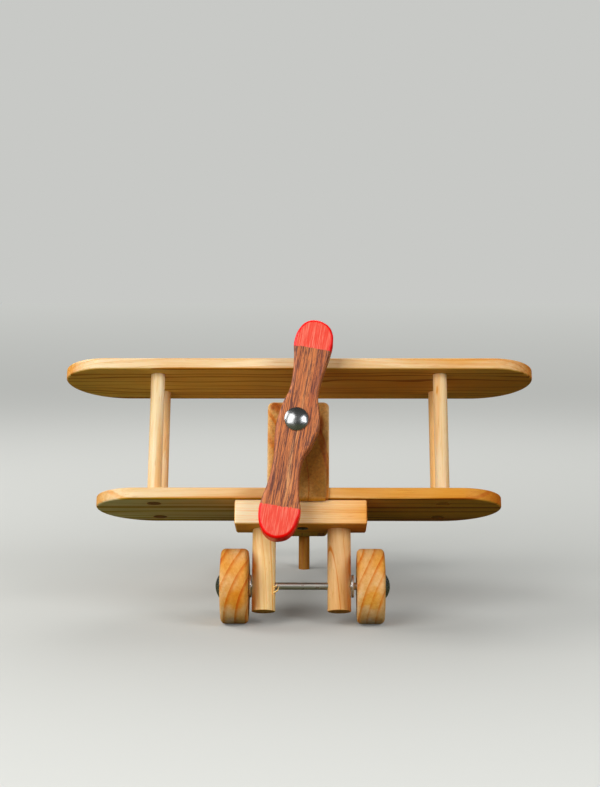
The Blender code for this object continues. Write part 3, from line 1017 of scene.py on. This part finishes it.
@dataclass(frozen=True)
class Wings:
    """The two wings and the four dowels between them."""

    thickness: float = 0.008
    tip_radius: float = 0.031
    upper_span: float = 0.3282
    upper_chord: float = 0.072
    upper_underside: float = 0.0915
    lower_span: float = 0.2786
    lower_chord: float = 0.071
    strut_radius: float = 0.0048
    strut_round: float = 0.0003
    strut_front: Pair = (0.0980, 0.0146)
    strut_rear: Pair = (0.0978, 0.0566)
    socket: float = 0.0045

    UPPER_PINE = PineFinish(
        # The blush of 1.5 towards the pilot's left is partly painted shade.
        Run.SPAN, (0.0, -0.105, -0.190), 0.0066, 0.72, 0.36, 1.5, drift=0.0030,
        # The underside tones darken and green this wing's underside: painted shade.
        lean=(0.0, 0.4, 0.9), late_share=0.34, under_oil=tone(228, 205, 98),
        under_late=tone(178, 170, 10), under_lines=4.0,
        marks=(Mark((0.1020, 0.0, 0.0996), 0.0062, (0.93, 0.76, 0.44), 9.0),
               Mark((-0.1560, 0.0150, 0.0980), 0.0080, (0.98, 0.86, 0.52), 3.0)),
    )
    LOWER_PINE = PineFinish(
        # The blush of 4.2 towards the pilot's left is partly painted shade.
        Run.SPAN, (0.0, 0.240, -0.250), 0.0086, 1.0, 0.74, 4.2, drift=0.0020,
        # The underside tones darken this wing's underside, most in its late wood: painted shade.
        lean=(0.0, -0.5, 0.6), late_share=0.30, under_depth=1.0,
        under_oil=tone(246, 255, 244), under_late=tone(206, 226, 12), under_lines=3.6,
    )
    PLUG_DARK = tone(128, 84, 48)
    PLUG_PALE = tone(196, 160, 110)
    RESIN = Mark((0.0952, 0.0098, 0.0790), 0.0018, tone(240, 200, 92), 3.2)
    # Each strut's amber, whole-piece multiplier, end tone and marks. The rear left strut's
    # multiplier brightens it: painted light where the front strut and the upper wing shade it.
    STRUT_OILS = {
        "strut_front_left": (0.14, CLEAN, PLUG_PALE, (RESIN,)),
        "strut_front_right": (0.18, CLEAN, PLUG_DARK, ()),
        "strut_rear_left": (0.30, (1.20, 1.21, 1.06), PLUG_DARK, ()),
        "strut_rear_right": (0.44, CLEAN, PLUG_DARK, ()),
    }

    def seats(self) -> list[tuple[str, float, float]]:
        """Name, X and Y of each strut."""
        rows = (("front", self.strut_front), ("rear", self.strut_rear))
        return [(f"strut_{row}_{side.word}", side.value * x, y)
                for row, (x, y) in rows for side in Side]

    def build(self) -> None:
        """Build and dress both wings and their struts."""
        top = self.upper_underside + self.socket
        for name, span, chord, underside, pine in (
            ("upper_wing", self.upper_span, self.upper_chord, self.upper_underside, self.UPPER_PINE),
            ("lower_wing", self.lower_span, self.lower_chord, 0.0, self.LOWER_PINE),
        ):
            board = Board(name + "_board", span, chord, self.thickness, self.tip_radius, 0.0,
                          underside).make()
            for _, x, y in self.seats():
                board.bore(self.strut_radius + FIT, (x, y, -CLEAR), (x, y, top + FIT), 40)
            board.finish(pine)
        for index, (name, x, y) in enumerate(self.seats()):
            strut = Workpiece.rod(name + "_dowel", self.strut_radius, (x, y, 0.0), (x, y, top))
            strut.round_edges(across(Axis.Z), self.strut_round, 2)
            amber, stain, end_tone, marks = self.STRUT_OILS[name]
            heart = (x + 0.011 * (-1) ** index, y + 0.010 + 0.003 * index, 0.0)
            strut.finish(PineFinish(
                Run.RISE, heart, 0.0034, 0.60, amber, drift=0.0008, lean=(0.0, 1.0, 1.0 - index),
                stain=stain, end_tone=end_tone, marks=marks,
            ))


@dataclass(frozen=True)
class Spindle:
    """A steel rod with its washers and domed caps, as the axle and the propeller's pin are.

    Args:
        radius: Radius of the rod.
        washer_radius: Outer radius of the washers.
        washer_round: Radius of their softened edges.
        cap_height: Height of a cap from its back to its crown.
        cap_rim: Height of its straight rim.
        socket: How deeply it takes in the rod.
        edge_round: Radius of the rod's softened ends.
    """

    radius: float = 0.0024
    washer_radius: float = 0.0076
    washer_round: float = 0.0003
    cap_height: float = 0.0034
    cap_rim: float = 0.0006
    socket: float = 0.0014
    edge_round: float = 0.0002

    def build_rod(self, node: str, start: Place, end: Place, axis: Axis) -> None:
        """Build and dress the rod.

        Args:
            node: The node that it stands for.
            start: Middle of its first end.
            end: Middle of its second end.
            axis: The axis that it lies along.
        """
        rod = Workpiece.rod(node + "_rod", self.radius, start, end)
        rod.round_edges(across(axis), self.edge_round, 2)
        rod.finish(STEEL)

    def build_washer(self, node: str, foot: Vector, way: Vector, thickness: float,
                     gap: float) -> None:
        """Build and dress a washer.

        Args:
            node: The node that it stands for.
            foot: Middle of its first face.
            way: Direction from that face to the other one.
            thickness: Its thickness.
            gap: Gap between its bore and the rod.
        """
        washer = Workpiece.rod(node + "_ring", self.washer_radius, foot, foot + way * thickness, 56)
        washer.bore(self.radius + gap, foot - way * CLEAR, foot + way * CLEAR)
        washer.round_all(self.washer_round, 3)
        washer.finish(ZINC)

    def build_cap(self, node: str, foot: Vector, way: Vector, radius: float) -> None:
        """Build and dress a domed cap on a short straight rim.

        Args:
            node: The node that it stands for.
            foot: Middle of its flat back.
            way: Direction that it bulges in.
            radius: Radius of its rim.
        """
        rise = self.cap_height - self.cap_rim
        ball = (radius * radius + rise * rise) / (2.0 * rise)
        bpy.ops.object.select_all(action="DESELECT")
        bpy.ops.mesh.primitive_uv_sphere_add(
            segments=64, ring_count=96, radius=ball, location=foot + way * (self.cap_height - ball),
            rotation=way.to_track_quat("Z", "Y").to_euler(),
        )
        cap = Workpiece(node + "_dome")
        with cap.editing():
            cap.slice(foot + way * self.cap_rim, way, trim=True)
            cap.pick(Part.FACES, lambda mid, normal: normal.dot(way) < -0.9)
            bpy.ops.mesh.extrude_region_move(TRANSFORM_OT_translate={"value": -way * self.cap_rim})
        cap.bore(self.radius + FIT, foot - way * CLEAR, foot + way * self.socket)
        cap.finish(CHROME)


@dataclass(frozen=True)
class Propeller:
    """The blade on its pin, with the washer behind it and the domed cap in front."""

    spindle: Spindle = Spindle()
    hub_x: float = -0.0010
    hub_z: float = 0.0494
    pin_depth: float = 0.022
    thickness: float = 0.015
    edge_round: float = 0.0023
    tilt: float = math.radians(9.3)
    washer: float = 0.0016
    cap_radius: float = 0.0081
    paint_up: float = 0.0510
    paint_down: float = 0.0600

    # The blade's edge as places up and across from the hub, and how far the curve's handles
    # reach, as a share of the distance to the next place.
    OUTLINE = (
        (0.0716, 0.0010), (0.0706, 0.0073), (0.0683, 0.0111), (0.0643, 0.0139),
        (0.0600, 0.0151), (0.0517, 0.0149), (0.0380, 0.0128), (0.0250, 0.0114),
        (0.0176, 0.0117), (0.0091, 0.0140), (0.0024, 0.0155), (-0.0038, 0.0157),
        (-0.0101, 0.0141), (-0.0174, 0.0120), (-0.0231, 0.0092), (-0.0316, 0.0080),
        (-0.0417, 0.0087), (-0.0529, 0.0108), (-0.0608, 0.0129), (-0.0680, 0.0121),
        (-0.0768, 0.0088), (-0.0808, 0.0030), (-0.0810, -0.0045), (-0.0756, -0.0111),
        (-0.0654, -0.0144), (-0.0550, -0.0136), (-0.0465, -0.0119), (-0.0298, -0.0108),
        (-0.0093, -0.0129), (-0.0023, -0.0129), (0.0110, -0.0109), (0.0196, -0.0084),
        (0.0283, -0.0078), (0.0431, -0.0090), (0.0558, -0.0107), (0.0657, -0.0079),
        (0.0700, -0.0040),
    )
    HANDLE = 0.39

    def edge_points(self, steps: int) -> list[Vector]:
        """Places along the blade's smooth edge.

        Args:
            steps: Steps between one named place of the outline and the next.

        Returns:
            Places as (across, up) from the hub, in order.
        """
        knots = [Vector((across, up)) for up, across in self.OUTLINE]
        ahead = knots[1:] + knots[:1]
        handles = []
        for behind, knot, following in zip(knots[-1:] + knots[:-1], knots, ahead):
            before, after = knot - behind, following - knot
            way = (before.normalized() + after.normalized()).normalized()
            handles.append((knot - way * before.length * self.HANDLE,
                            knot + way * after.length * self.HANDLE))
        points = []
        for knot, following, (_, leave), (arrive, _) in zip(knots, ahead, handles,
                                                            handles[1:] + handles[:1]):
            for step in range(steps):
                t = step / steps
                s = 1.0 - t
                points.append(knot * s ** 3 + leave * 3 * s * s * t + arrive * 3 * s * t * t
                              + following * t ** 3)
        return points

    def build_blade(self, back: float) -> None:
        """Build and dress the blade.

        Args:
            back: Y of its back face.
        """
        front = back - self.thickness
        edge = self.edge_points(6)
        turn = Matrix.Rotation(self.tilt, 3, "Y")
        bpy.ops.object.select_all(action="DESELECT")
        bpy.ops.mesh.primitive_circle_add(vertices=len(edge), fill_type="NOTHING")
        blade = Workpiece("propeller_blade")
        with blade.editing():
            shape = bmesh.from_edit_mesh(blade.obj.data)
            for corner, point in zip(shape.verts, edge):
                corner.co = turn @ Vector((point.x, 0.0, point.y))
                corner.co += Vector((self.hub_x, back, self.hub_z))
            bmesh.update_edit_mesh(blade.obj.data)
            bpy.ops.mesh.select_all(action="SELECT")
            bpy.ops.mesh.edge_face_add()
            bpy.ops.mesh.extrude_region_move(
                TRANSFORM_OT_translate={"value": (0.0, -self.thickness, 0.0)}
            )
            bpy.ops.mesh.select_all(action="SELECT")
            bpy.ops.mesh.normals_make_consistent(inside=False)
        blade.round_edges(all_of(across(Axis.Y), at(Axis.Y, front, back)), self.edge_round, 7)
        blade.bore(self.spindle.radius + RUNNING, (self.hub_x, back + 0.2 * CLEAR, self.hub_z),
                   (self.hub_x, front - 0.2 * CLEAR, self.hub_z))
        blade.finish(BladeFinish((self.hub_x, (back + front) / 2.0, self.hub_z), self.tilt,
                                 self.paint_up, self.paint_down), "propeller", 32.0)

    def build(self, nose: float) -> None:
        """Build and dress the propeller and its fittings.

        Args:
            nose: Y of the fuselage's front face.
        """
        x, z = self.hub_x, self.hub_z
        forward = Vector((0.0, -1.0, 0.0))
        washer_back = nose - FIT
        self.spindle.build_washer("propeller_washer", Vector((x, washer_back, z)), forward,
                                  self.washer, FIT)
        back = washer_back - self.washer - RUNNING
        self.build_blade(back)
        seat = back - self.thickness - RUNNING
        self.spindle.build_rod("propeller_pin", (x, seat - self.spindle.socket + FIT, z),
                               (x, nose + self.pin_depth, z), Axis.Y)
        self.spindle.build_cap("propeller_cap", Vector((x, seat, z)), forward, self.cap_radius)


@dataclass(frozen=True)
class Fuselage:
    """The carved body: square in front, tapered to the tail, with a scooped cockpit.

    The two sections hold a half width, a low edge and a high edge.
    """

    nose: float = -0.0040
    half_width: float = 0.0208
    low: float = -0.0016
    high: float = 0.0671
    belly_end: float = 0.116
    tail_seat: float = 0.194
    tail_end: float = 0.238
    edge_round: float = 0.0036
    cockpit: float = 0.098
    cockpit_radius: float = 0.017
    cockpit_depth: float = 0.012
    skid: Pair = (0.0026, 0.215)
    skid_radius: float = 0.0044
    skid_socket: float = 0.010
    seat_section: Triple = (0.0140, 0.0160, 0.0460)
    end_section: Triple = (0.0110, 0.0260, 0.0460)

    PINE = PineFinish(
        Run.LENGTH, (-0.075, 0.0, 0.010), 0.0150, 1.40, 0.48, drift=0.0016,
        lean=(0.0, 1.5, 2.0), late_share=0.22, end_tone=tone(233, 208, 160), end_depth=1.0,
        # The nose's marks are painted shade: the first darkens the pilot's-left half of the nose
        # face, partly darker end grain and partly the blade's painted shadow; the second is the
        # blade's painted shadow beside its edge; the third is painted shade behind the hub.
        marks=(Mark((0.0120, -0.0040, 0.0240), 0.0185, tone(170, 154, 98), 0.15, 2.1),
               Mark((0.0146, -0.0040, 0.0506), 0.0032, tone(198, 142, 94), 0.3, 3.2),
               Mark((-0.0150, -0.0040, 0.0640), 0.0070, tone(212, 158, 110), 0.3)),
    )

    def skid_top(self) -> float:
        """Height of the skid's upper end, in its socket above the sloping belly."""
        share = (self.skid[1] - self.belly_end) / (self.tail_end - self.belly_end)
        return self.low + share * (self.end_section[1] - self.low) + self.skid_socket

    def shape_section(self, body: Workpiece, y: float, section: Triple) -> None:
        """Move the corners at one place along the body onto its section.

        Args:
            body: The body, still square.
            y: Where the section is.
            section: Half width, low edge and high edge.
        """
        half, *edges = section
        with body.editing():
            body.pick(Part.CORNERS, at(Axis.Y, y))
            bpy.ops.transform.resize(value=(half / self.half_width, 1.0, 1.0),
                                     center_override=(0.0, y, 0.0))
            for square, wanted in zip((self.low, self.high), edges):
                body.pick(Part.CORNERS, all_of(at(Axis.Y, y), at(Axis.Z, square)))
                bpy.ops.transform.translate(value=(0.0, 0.0, wanted - square))

    def build(self, wings: Wings, propeller: Propeller) -> None:
        """Build and dress the fuselage.

        Args:
            wings: The wings, for the notch that takes the lower one.
            propeller: The propeller, for the hole that takes its pin.
        """
        length = self.tail_end - self.nose
        body = Workpiece.box(
            "fuselage_body",
            (0.0, self.nose + length / 2.0, (self.low + self.high) / 2.0),
            (2.0 * self.half_width, length, self.high - self.low),
        )
        with body.editing():
            for y in (self.belly_end, self.tail_seat):
                body.slice((0.0, y, 0.0), (0.0, 1.0, 0.0))
        self.shape_section(body, self.tail_seat, self.seat_section)
        self.shape_section(body, self.tail_end, self.end_section)
        body.round_all(self.edge_round, 7)

        body.cut(Workpiece.box(
            "notch", (0.0, wings.lower_chord / 2.0, wings.thickness + FIT - CLEAR),
            (9.0 * CLEAR, wings.lower_chord + 2.0 * FIT, 2.0 * CLEAR),
        ))
        y, z = self.cockpit, self.high - self.cockpit_depth + self.cockpit_radius
        body.bore(self.cockpit_radius, (-5.0 * CLEAR, y, z), (5.0 * CLEAR, y, z), 96)
        x, z = propeller.hub_x, propeller.hub_z
        body.bore(propeller.spindle.radius + FIT, (x, self.nose - CLEAR, z),
                  (x, self.nose + propeller.pin_depth + FIT, z))
        x, y = self.skid
        body.bore(self.skid_radius + FIT, (x, y, -3.0 * CLEAR), (x, y, self.skid_top() + FIT))
        body.finish(self.PINE)


@dataclass(frozen=True)
class Tail:
    """Tailplane, fin and the skid that carries the tail."""

    board: float = 0.006
    seat: float = 0.0460
    span: float = 0.114
    chord: float = 0.042
    front: float = 0.195
    front_radius: float = 0.024
    fin_front: float = 0.203
    fin_chord: float = 0.035
    fin_height: float = 0.046
    fin_top_chord: float = 0.019
    fin_corner: float = 0.0090
    edge_round: float = 0.0014
    skid_end: float = -0.0077

    PLANE_PINE = PineFinish(Run.SPAN, (0.0, 0.236, 0.012), 0.0048, 0.70, 0.40, drift=0.0018)
    FIN_PINE = PineFinish(Run.RISE, (0.030, 0.232, 0.0), 0.0044, 0.66, 0.36, lean=(0.0, 3.0, 0.0))
    # The skid's multiplier darkens and greens it: painted shade under the tail.
    SKID_PINE = PineFinish(Run.RISE, (0.014, 0.226, 0.0), 0.0040, 0.60, 0.90, drift=0.0010,
                           stain=tone(178, 170, 112))

    def build_fin(self) -> None:
        """Build and dress the fin, whose front edge leans back to a rounded corner."""
        foot = self.seat + self.board + 2.0 * FIT
        top = foot + self.fin_height
        back = self.fin_front + self.fin_chord
        fin = Workpiece.box(
            "fin_board",
            (0.0, self.fin_front + self.fin_chord / 2.0, foot + self.fin_height / 2.0),
            (self.board, self.fin_chord, self.fin_height),
        )
        with fin.editing():
            fin.pick(Part.CORNERS, all_of(at(Axis.Z, top), at(Axis.Y, self.fin_front)))
            lean = self.fin_chord - self.fin_top_chord
            bpy.ops.transform.translate(value=(0.0, lean, 0.0))
        fin.round_edges(
            all_of(along(Axis.X), at(Axis.Z, top), lambda mid, way: mid.y < back - self.fin_corner),
            self.fin_corner, 10,
        )
        sides = at(Axis.X, -self.board / 2.0, self.board / 2.0)
        fin.round_edges(all_of(across(Axis.X), sides), self.edge_round, 5)
        fin.finish(self.FIN_PINE)

    def build_skid(self, fuselage: Fuselage) -> None:
        """Build and dress the skid, its end cut along the floor.

        Args:
            fuselage: The fuselage that it is let into.
        """
        x, y, z = *fuselage.skid, self.skid_end
        skid = Workpiece.rod("tail_skid_dowel", fuselage.skid_radius, (x, y, z - CLEAR),
                             (x, y, fuselage.skid_top()))
        with skid.editing():
            up = (0.0, -math.sin(AXES.pitch), math.cos(AXES.pitch))
            skid.slice((x, y, z), up, trim=True)
        skid.finish(self.SKID_PINE)

    def build(self, fuselage: Fuselage) -> None:
        """Build and dress the whole tail."""
        plane = Board("tailplane_board", self.span, self.chord, self.board, self.front_radius,
                      self.front, self.seat + FIT, self.edge_round)
        plane.make().finish(self.PLANE_PINE)
        self.build_fin()
        self.build_skid(fuselage)


@dataclass(frozen=True)
class LegSide:
    """What differs from the left leg and wheel to the right ones.

    Args:
        leg: X of the leg.
        wheel: X of the wheel's inner face.
        heart_left: How far the wheel's heart line lies to the left of its middle.
        heart_down: How far below the axle it lies.
        ring_gap: Distance from ring to ring in the wheel.
        ring_phase: Where the wheel's first ring starts, as a share of a ring.
        pine: The leg's finish.
    """

    leg: float
    wheel: float
    heart_left: float
    heart_down: float
    ring_gap: float
    ring_phase: float
    pine: PineFinish


@dataclass(frozen=True)
class Undercarriage:
    """Cross block, two legs, axle, washers, wheels and the axle's end caps."""

    spindle: Spindle = Spindle()
    middle: float = 0.0018
    length: float = 0.0888
    front: float = 0.0009
    depth: float = 0.0295
    height: float = 0.0167
    block_round: float = 0.0015
    leg_radius: float = 0.0079
    leg_end: float = -0.0725
    leg_socket: float = 0.010
    leg_round: float = 0.0006
    axle: Pair = (0.0204, -0.0553)
    wheel_radius: float = 0.025
    wheel_width: float = 0.0184
    wheel_round: float = 0.003
    washer: float = 0.0015
    cap_radius: float = 0.0079
    screw: Pair = (0.0031, 0.0149)
    screw_radius: float = 0.0039
    screw_tip: float = 0.0012
    screw_depth: float = 0.0030
    screw_proud: float = 0.0003
    screw_round: float = 0.0006
    sink_proud: float = 0.0002
    sink_tip: float = 0.0010
    recess: Triple = (0.0036, 0.0008, 0.0022)

    BLOCK_PINE = PineFinish(
        # The blush of 14.0 towards the pilot's left is partly painted shade, darkening the block's
        # far side.
        Run.SPAN, (0.0, 0.030, -0.060), 0.0014, 0.55, 0.24, 14.0, drift=0.0007,
        # The multiplier above 1 brightens the whole block: painted light.
        lean=(0.0, 0.8, 0.0), late_share=0.42, stain=(1.18, 1.19, 1.22),
        # The underside tone darkens the block's underside: painted shade.
        under_oil=tone(212, 176, 52),
    )
    # The legs' end grain, made pale by a painted reflection of the floor on their lower ends.
    LEG_END = tone(236, 214, 168)
    SIDES = {
        Side.LEFT: LegSide(0.0276, 0.0394, 0.0660, 0.0227, 0.00565, 0.833, PineFinish(
            Run.RISE, (0.054, 0.044, 0.0), 0.0062, 1.5, 0.66, drift=0.0010,
            lean=(0.0, -4.5, -1.5), late_share=0.12, under_depth=0.2, end_tone=LEG_END,
        )),
        Side.RIGHT: LegSide(-0.0231, -0.0332, 0.0487, 0.0197, 0.0072, 0.200, PineFinish(
            Run.RISE, (0.010, 0.048, 0.0), 0.0092, 1.5, 0.34, drift=0.0018,
            # The multiplier brightens this leg, which its wheel shades: painted light, with a little
            # less blue in the wood's own colour.
            lean=(0.0, -6.0, 2.0), late_share=0.13, under_depth=0.2, stain=(1.10, 1.07, 0.90),
            end_tone=LEG_END,
            marks=(Mark((-0.0308, 0.0150, -0.0440), 0.0036, tone(252, 214, 142), 2.6),
                   Mark((-0.0138, 0.0160, -0.0585), 0.0052, (1.10, 1.06, 0.80), 1.6)),
        )),
    }
    # Root, point and thickness of each splinter beside the axle.
    SPLINTERS = (
        ((-0.0166, 0.0172, -0.0606), (-0.0126, 0.0158, -0.0562), 0.0016),
        ((-0.0162, 0.0172, -0.0566), (-0.0140, 0.0164, -0.0542), 0.0012),
    )

    def build_block(self) -> None:
        """Build and dress the cross block with its leg sockets and the screw's countersink."""
        top = -FIT
        under = top - self.height
        block = Workpiece.box(
            "chassis_block_body",
            (self.middle, self.front + self.depth / 2.0, top - self.height / 2.0),
            (self.length, self.depth, self.height),
        )
        block.round_all(self.block_round, 5)
        y = self.axle[0]
        for side in self.SIDES.values():
            block.bore(self.leg_radius + FIT, (side.leg, y, self.leg_end),
                       (side.leg, y, under + self.leg_socket + FIT), 64)
        x, y = self.screw
        block.cut(Workpiece.rod(
            "sink", self.screw_radius + 2.0 * FIT, (x, y, under - self.sink_proud),
            (x, y, under + self.screw_depth), 48, self.sink_tip,
        ))
        block.finish(self.BLOCK_PINE)

    def build_screw(self) -> None:
        """Build and dress the countersunk screw in the block's underside."""
        x, y = self.screw
        face = -FIT - self.height - self.screw_proud
        screw = Workpiece.rod("chassis_screw_head", self.screw_radius, (x, y, face),
                              (x, y, face + self.screw_depth), 48, self.screw_tip)
        screw.round_edges(all_of(at(Axis.Z, face), across(Axis.Z)), self.screw_round, 4)
        long, narrow, deep = self.recess
        for size in ((long, narrow, deep), (narrow, long, deep)):
            screw.cut(Workpiece.box("recess", (x, y, face), size))
        screw.finish(BLACKENED)

    def splinter(self, root: Place, point: Place, thickness: float) -> Workpiece:
        """Lift a thin bent sliver of wood.

        Args:
            root: Where it leaves the wood.
            point: Its point.
            thickness: Its thickness at the root.

        Returns:
            The sliver.
        """
        start, end = Vector(root), Vector(point)
        sliver = Workpiece.rod("splinter", thickness / 2.0, start, end, 6, thickness / 12.0)
        way = (end - start).normalized()
        middle = start.lerp(end, 0.55)
        with sliver.editing():
            sliver.slice(middle, way)
            sliver.pick(Part.CORNERS, lambda co, _: near((co - middle).dot(way), 0.0))
            bpy.ops.transform.translate(value=(thickness * 0.5, 0.0, -thickness * 0.5))
            sliver.pick(Part.CORNERS, lambda co, _: (co - middle).dot(way) < 0.00002)
            bpy.ops.transform.resize(value=(1.0, 1.8, 1.0), center_override=start)
        return sliver

    def build_legs(self) -> None:
        """Build and dress the two dowel legs, bored for the axle."""
        top = -FIT - self.height + self.leg_socket
        y, z = self.axle
        for side, sizes in self.SIDES.items():
            x = sizes.leg
            leg = Workpiece.rod(f"leg_{side.word}_dowel", self.leg_radius,
                                (x, y, self.leg_end), (x, y, top), 72)
            leg.round_edges(across(Axis.Z), self.leg_round, 3)
            leg.bore(self.spindle.radius + FIT, (-6.0 * CLEAR, y, z), (6.0 * CLEAR, y, z))
            if side is Side.RIGHT:
                for splinter in self.SPLINTERS:
                    leg.join("UNION", self.splinter(*splinter))
            leg.finish(sizes.pine)

    def build_axle(self) -> None:
        """Build and dress the axle, from one cap's socket to the other's."""
        y, z = self.axle
        reach = self.wheel_width + RUNNING + self.spindle.socket - FIT
        self.spindle.build_rod("axle", (self.SIDES[Side.RIGHT].wheel - reach, y, z),
                               (self.SIDES[Side.LEFT].wheel + reach, y, z), Axis.X)

    def build_wheel(self, side: Side, sizes: LegSide) -> None:
        """Build and dress one wheel with its washer and cap.

        Args:
            side: Which side it is on.
            sizes: That side's sizes.
        """
        outward = Vector((side.value, 0.0, 0.0))
        inner = sizes.wheel
        outer = inner + side.value * self.wheel_width
        middle = (inner + outer) / 2.0
        y, z = self.axle
        name = f"wheel_{side.word}"
        wheel = Workpiece.rod(name + "_disc", self.wheel_radius, (inner, y, z), (outer, y, z), 128)
        wheel.round_edges(across(Axis.X), self.wheel_round, 7)
        wheel.bore(self.spindle.radius + RUNNING, (inner - 3.0 * CLEAR, y, z),
                   (inner + 3.0 * CLEAR, y, z))
        heart = (middle + sizes.heart_left, y + sizes.heart_down * math.sin(AXES.pitch),
                 z - sizes.heart_down * math.cos(AXES.pitch))
        wheel.finish(PineFinish(
            Run.LENGTH, heart, sizes.ring_gap, 1.3, 0.74, drift=0.0008,
            lean=(0.0, -math.degrees(AXES.pitch), 0.0), late_share=0.32, uneven=0.0,
            phase=sizes.ring_phase, spread=0.22, end_depth=0.0, under_depth=0.0,
            marks=(Mark((middle, y - 0.0215, z - 0.0125), 0.0100, tone(255, 226, 140), 0.8),
                   # The second mark makes the wheel's bottom paler and bluer: painted light on the
                   # tread near the floor.
                   Mark((middle, y - 0.0046, z - 0.0243), 0.0085, (0.86, 1.0, 1.7), 0.8)),
        ), name)

        start = sizes.leg + side.value * (self.leg_radius + FIT)
        self.spindle.build_washer(f"washer_{side.word}", Vector((start, y, z)), outward,
                                  self.washer, RUNNING)
        self.spindle.build_cap(f"axle_cap_{side.word}",
                               Vector((outer + side.value * RUNNING, y, z)), outward,
                               self.cap_radius)

    def build(self) -> None:
        """Build and dress the whole undercarriage."""
        self.build_block()
        self.build_screw()
        self.build_legs()
        self.build_axle()
        for side, sizes in self.SIDES.items():
            self.build_wheel(side, sizes)


@dataclass(frozen=True)
class Softbox:
    """A large soft light.

    Args:
        name: Its name.
        place: Where it hangs.
        size: Width and height.
        power: Its power in watts.
        colour: Its colour.
    """

    name: str
    place: Triple
    size: Pair
    power: float
    colour: Tone = CLEAN

    def build(self, target: Vector) -> None:
        """Hang the light and aim it.

        Args:
            target: The place that it is aimed at.
        """
        lamp = bpy.data.lights.new(self.name, "AREA")
        lamp.shape = "RECTANGLE"
        lamp.size, lamp.size_y = self.size
        lamp.energy = self.power
        lamp.color = self.colour
        hung = bpy.data.objects.new(self.name, lamp)
        hung.location = self.place
        hung.rotation_euler = (target - Vector(self.place)).to_track_quat("-Z", "Y").to_euler()
        hung.visible_camera = False
        bpy.context.scene.collection.objects.link(hung)


@dataclass(frozen=True)
class Studio:
    """Camera, pale floor and soft light."""

    camera_place: Triple = (0.0112, -1.1097, 0.2218)
    camera_turn: float = math.radians(0.57)
    camera_down: float = math.radians(3.86)
    focal_pixels: float = 1500.0
    frame_height: float = 787.0
    sensor: float = 36.0
    floor_size: float = 60.0
    glow_reach: float = 0.9
    light_target: Triple = (0.0, -0.05, 0.09)

    FLOOR = tone(186, 187, 184)
    BOUNCE = tone(90, 94, 65)
    GLOW = tone(196, 197, 194)
    BACKDROP = tone(200, 201, 198)
    AMBIENT = tone(82, 84, 80)
    WARM = (1.0, 0.985, 0.96)
    COOL = (0.98, 0.99, 1.0)
    LIGHTS = (
        Softbox("key_softbox", (-0.92, -1.24, 0.84), (1.05, 1.45), 24.5, WARM),
        Softbox("top_softbox", (0.10, 0.95, 1.25), (0.9, 0.9), 7.0),
        Softbox("right_softbox", (0.98, -1.02, 0.76), (0.7, 0.7), 11.0, COOL),
        Softbox("left_softbox", (-1.35, 0.10, 0.95), (0.8, 0.8), 12.0, WARM),
    )

    def seen_or_lit(self, bench: NodeBench, seen: Tone, lit: Tone) -> Socket:
        """One colour for what the camera sees and another for the light that is thrown back.

        Args:
            bench: The bench of the floor or of the world.
            seen: Colour in the picture.
            lit: Colour of the light thrown back.

        Returns:
            The colour.
        """
        return bench.mix(bench.node("LightPath", "Is Camera Ray"), lit, seen)

    def build_camera(self) -> None:
        """Set the camera where the picture was taken from."""
        lens = bpy.data.cameras.new("camera")
        lens.sensor_fit = "VERTICAL"
        lens.sensor_height = self.sensor
        lens.lens = self.focal_pixels * self.sensor / self.frame_height
        lens.clip_start = 0.01
        camera = bpy.data.objects.new("camera", lens)
        camera.location = self.camera_place
        camera.rotation_euler = (math.radians(90.0) - self.camera_down, 0.0, self.camera_turn)
        bpy.context.scene.collection.objects.link(camera)
        bpy.context.scene.camera = camera

    def build_floor(self) -> None:
        """Lay the pale floor, which glows a little more the further away it is."""
        bpy.ops.object.select_all(action="DESELECT")
        bpy.ops.mesh.primitive_plane_add(size=self.floor_size)
        floor = bpy.context.active_object
        floor.name = "studio_floor"
        bench = NodeBench(bpy.data.materials.new("studio_floor_paint"))
        away = bench.length(bench.node("TexCoord", "Object"))
        far = bench.maths("DIVIDE", away, bench.maths("ADD", away, self.glow_reach))
        floor.data.materials.append(bench.settle(
            Base_Color=self.seen_or_lit(bench, self.FLOOR, self.BOUNCE),
            Roughness=0.85, Specular_IOR_Level=0.1, Emission_Strength=1.0,
            Emission_Color=bench.mix(far, BLACK, self.seen_or_lit(bench, self.GLOW, BLACK)),
        ))

    def build(self) -> None:
        """Set up the whole studio."""
        self.build_camera()
        self.build_floor()
        for light in self.LIGHTS:
            light.build(Vector(self.light_target))
        air = NodeBench(bpy.data.worlds.new("studio_air"), "Background")
        bpy.context.scene.world = air.settle(
            Color=self.seen_or_lit(air, self.BACKDROP, self.AMBIENT))
        view = bpy.context.scene.view_settings
        view.view_transform = "Standard"
        view.look = "None"
        view.exposure = 0.0


def main() -> None:
    """Build the toy and its studio."""
    logging.basicConfig(level=logging.INFO, format="%(message)s")
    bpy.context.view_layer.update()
    wings = Wings()
    fuselage = Fuselage()
    propeller = Propeller()
    wings.build()
    fuselage.build(wings, propeller)
    Tail().build(fuselage)
    Undercarriage().build()
    propeller.build(fuselage.nose)
    Studio().build()


if __name__ == "__main__":
    main()
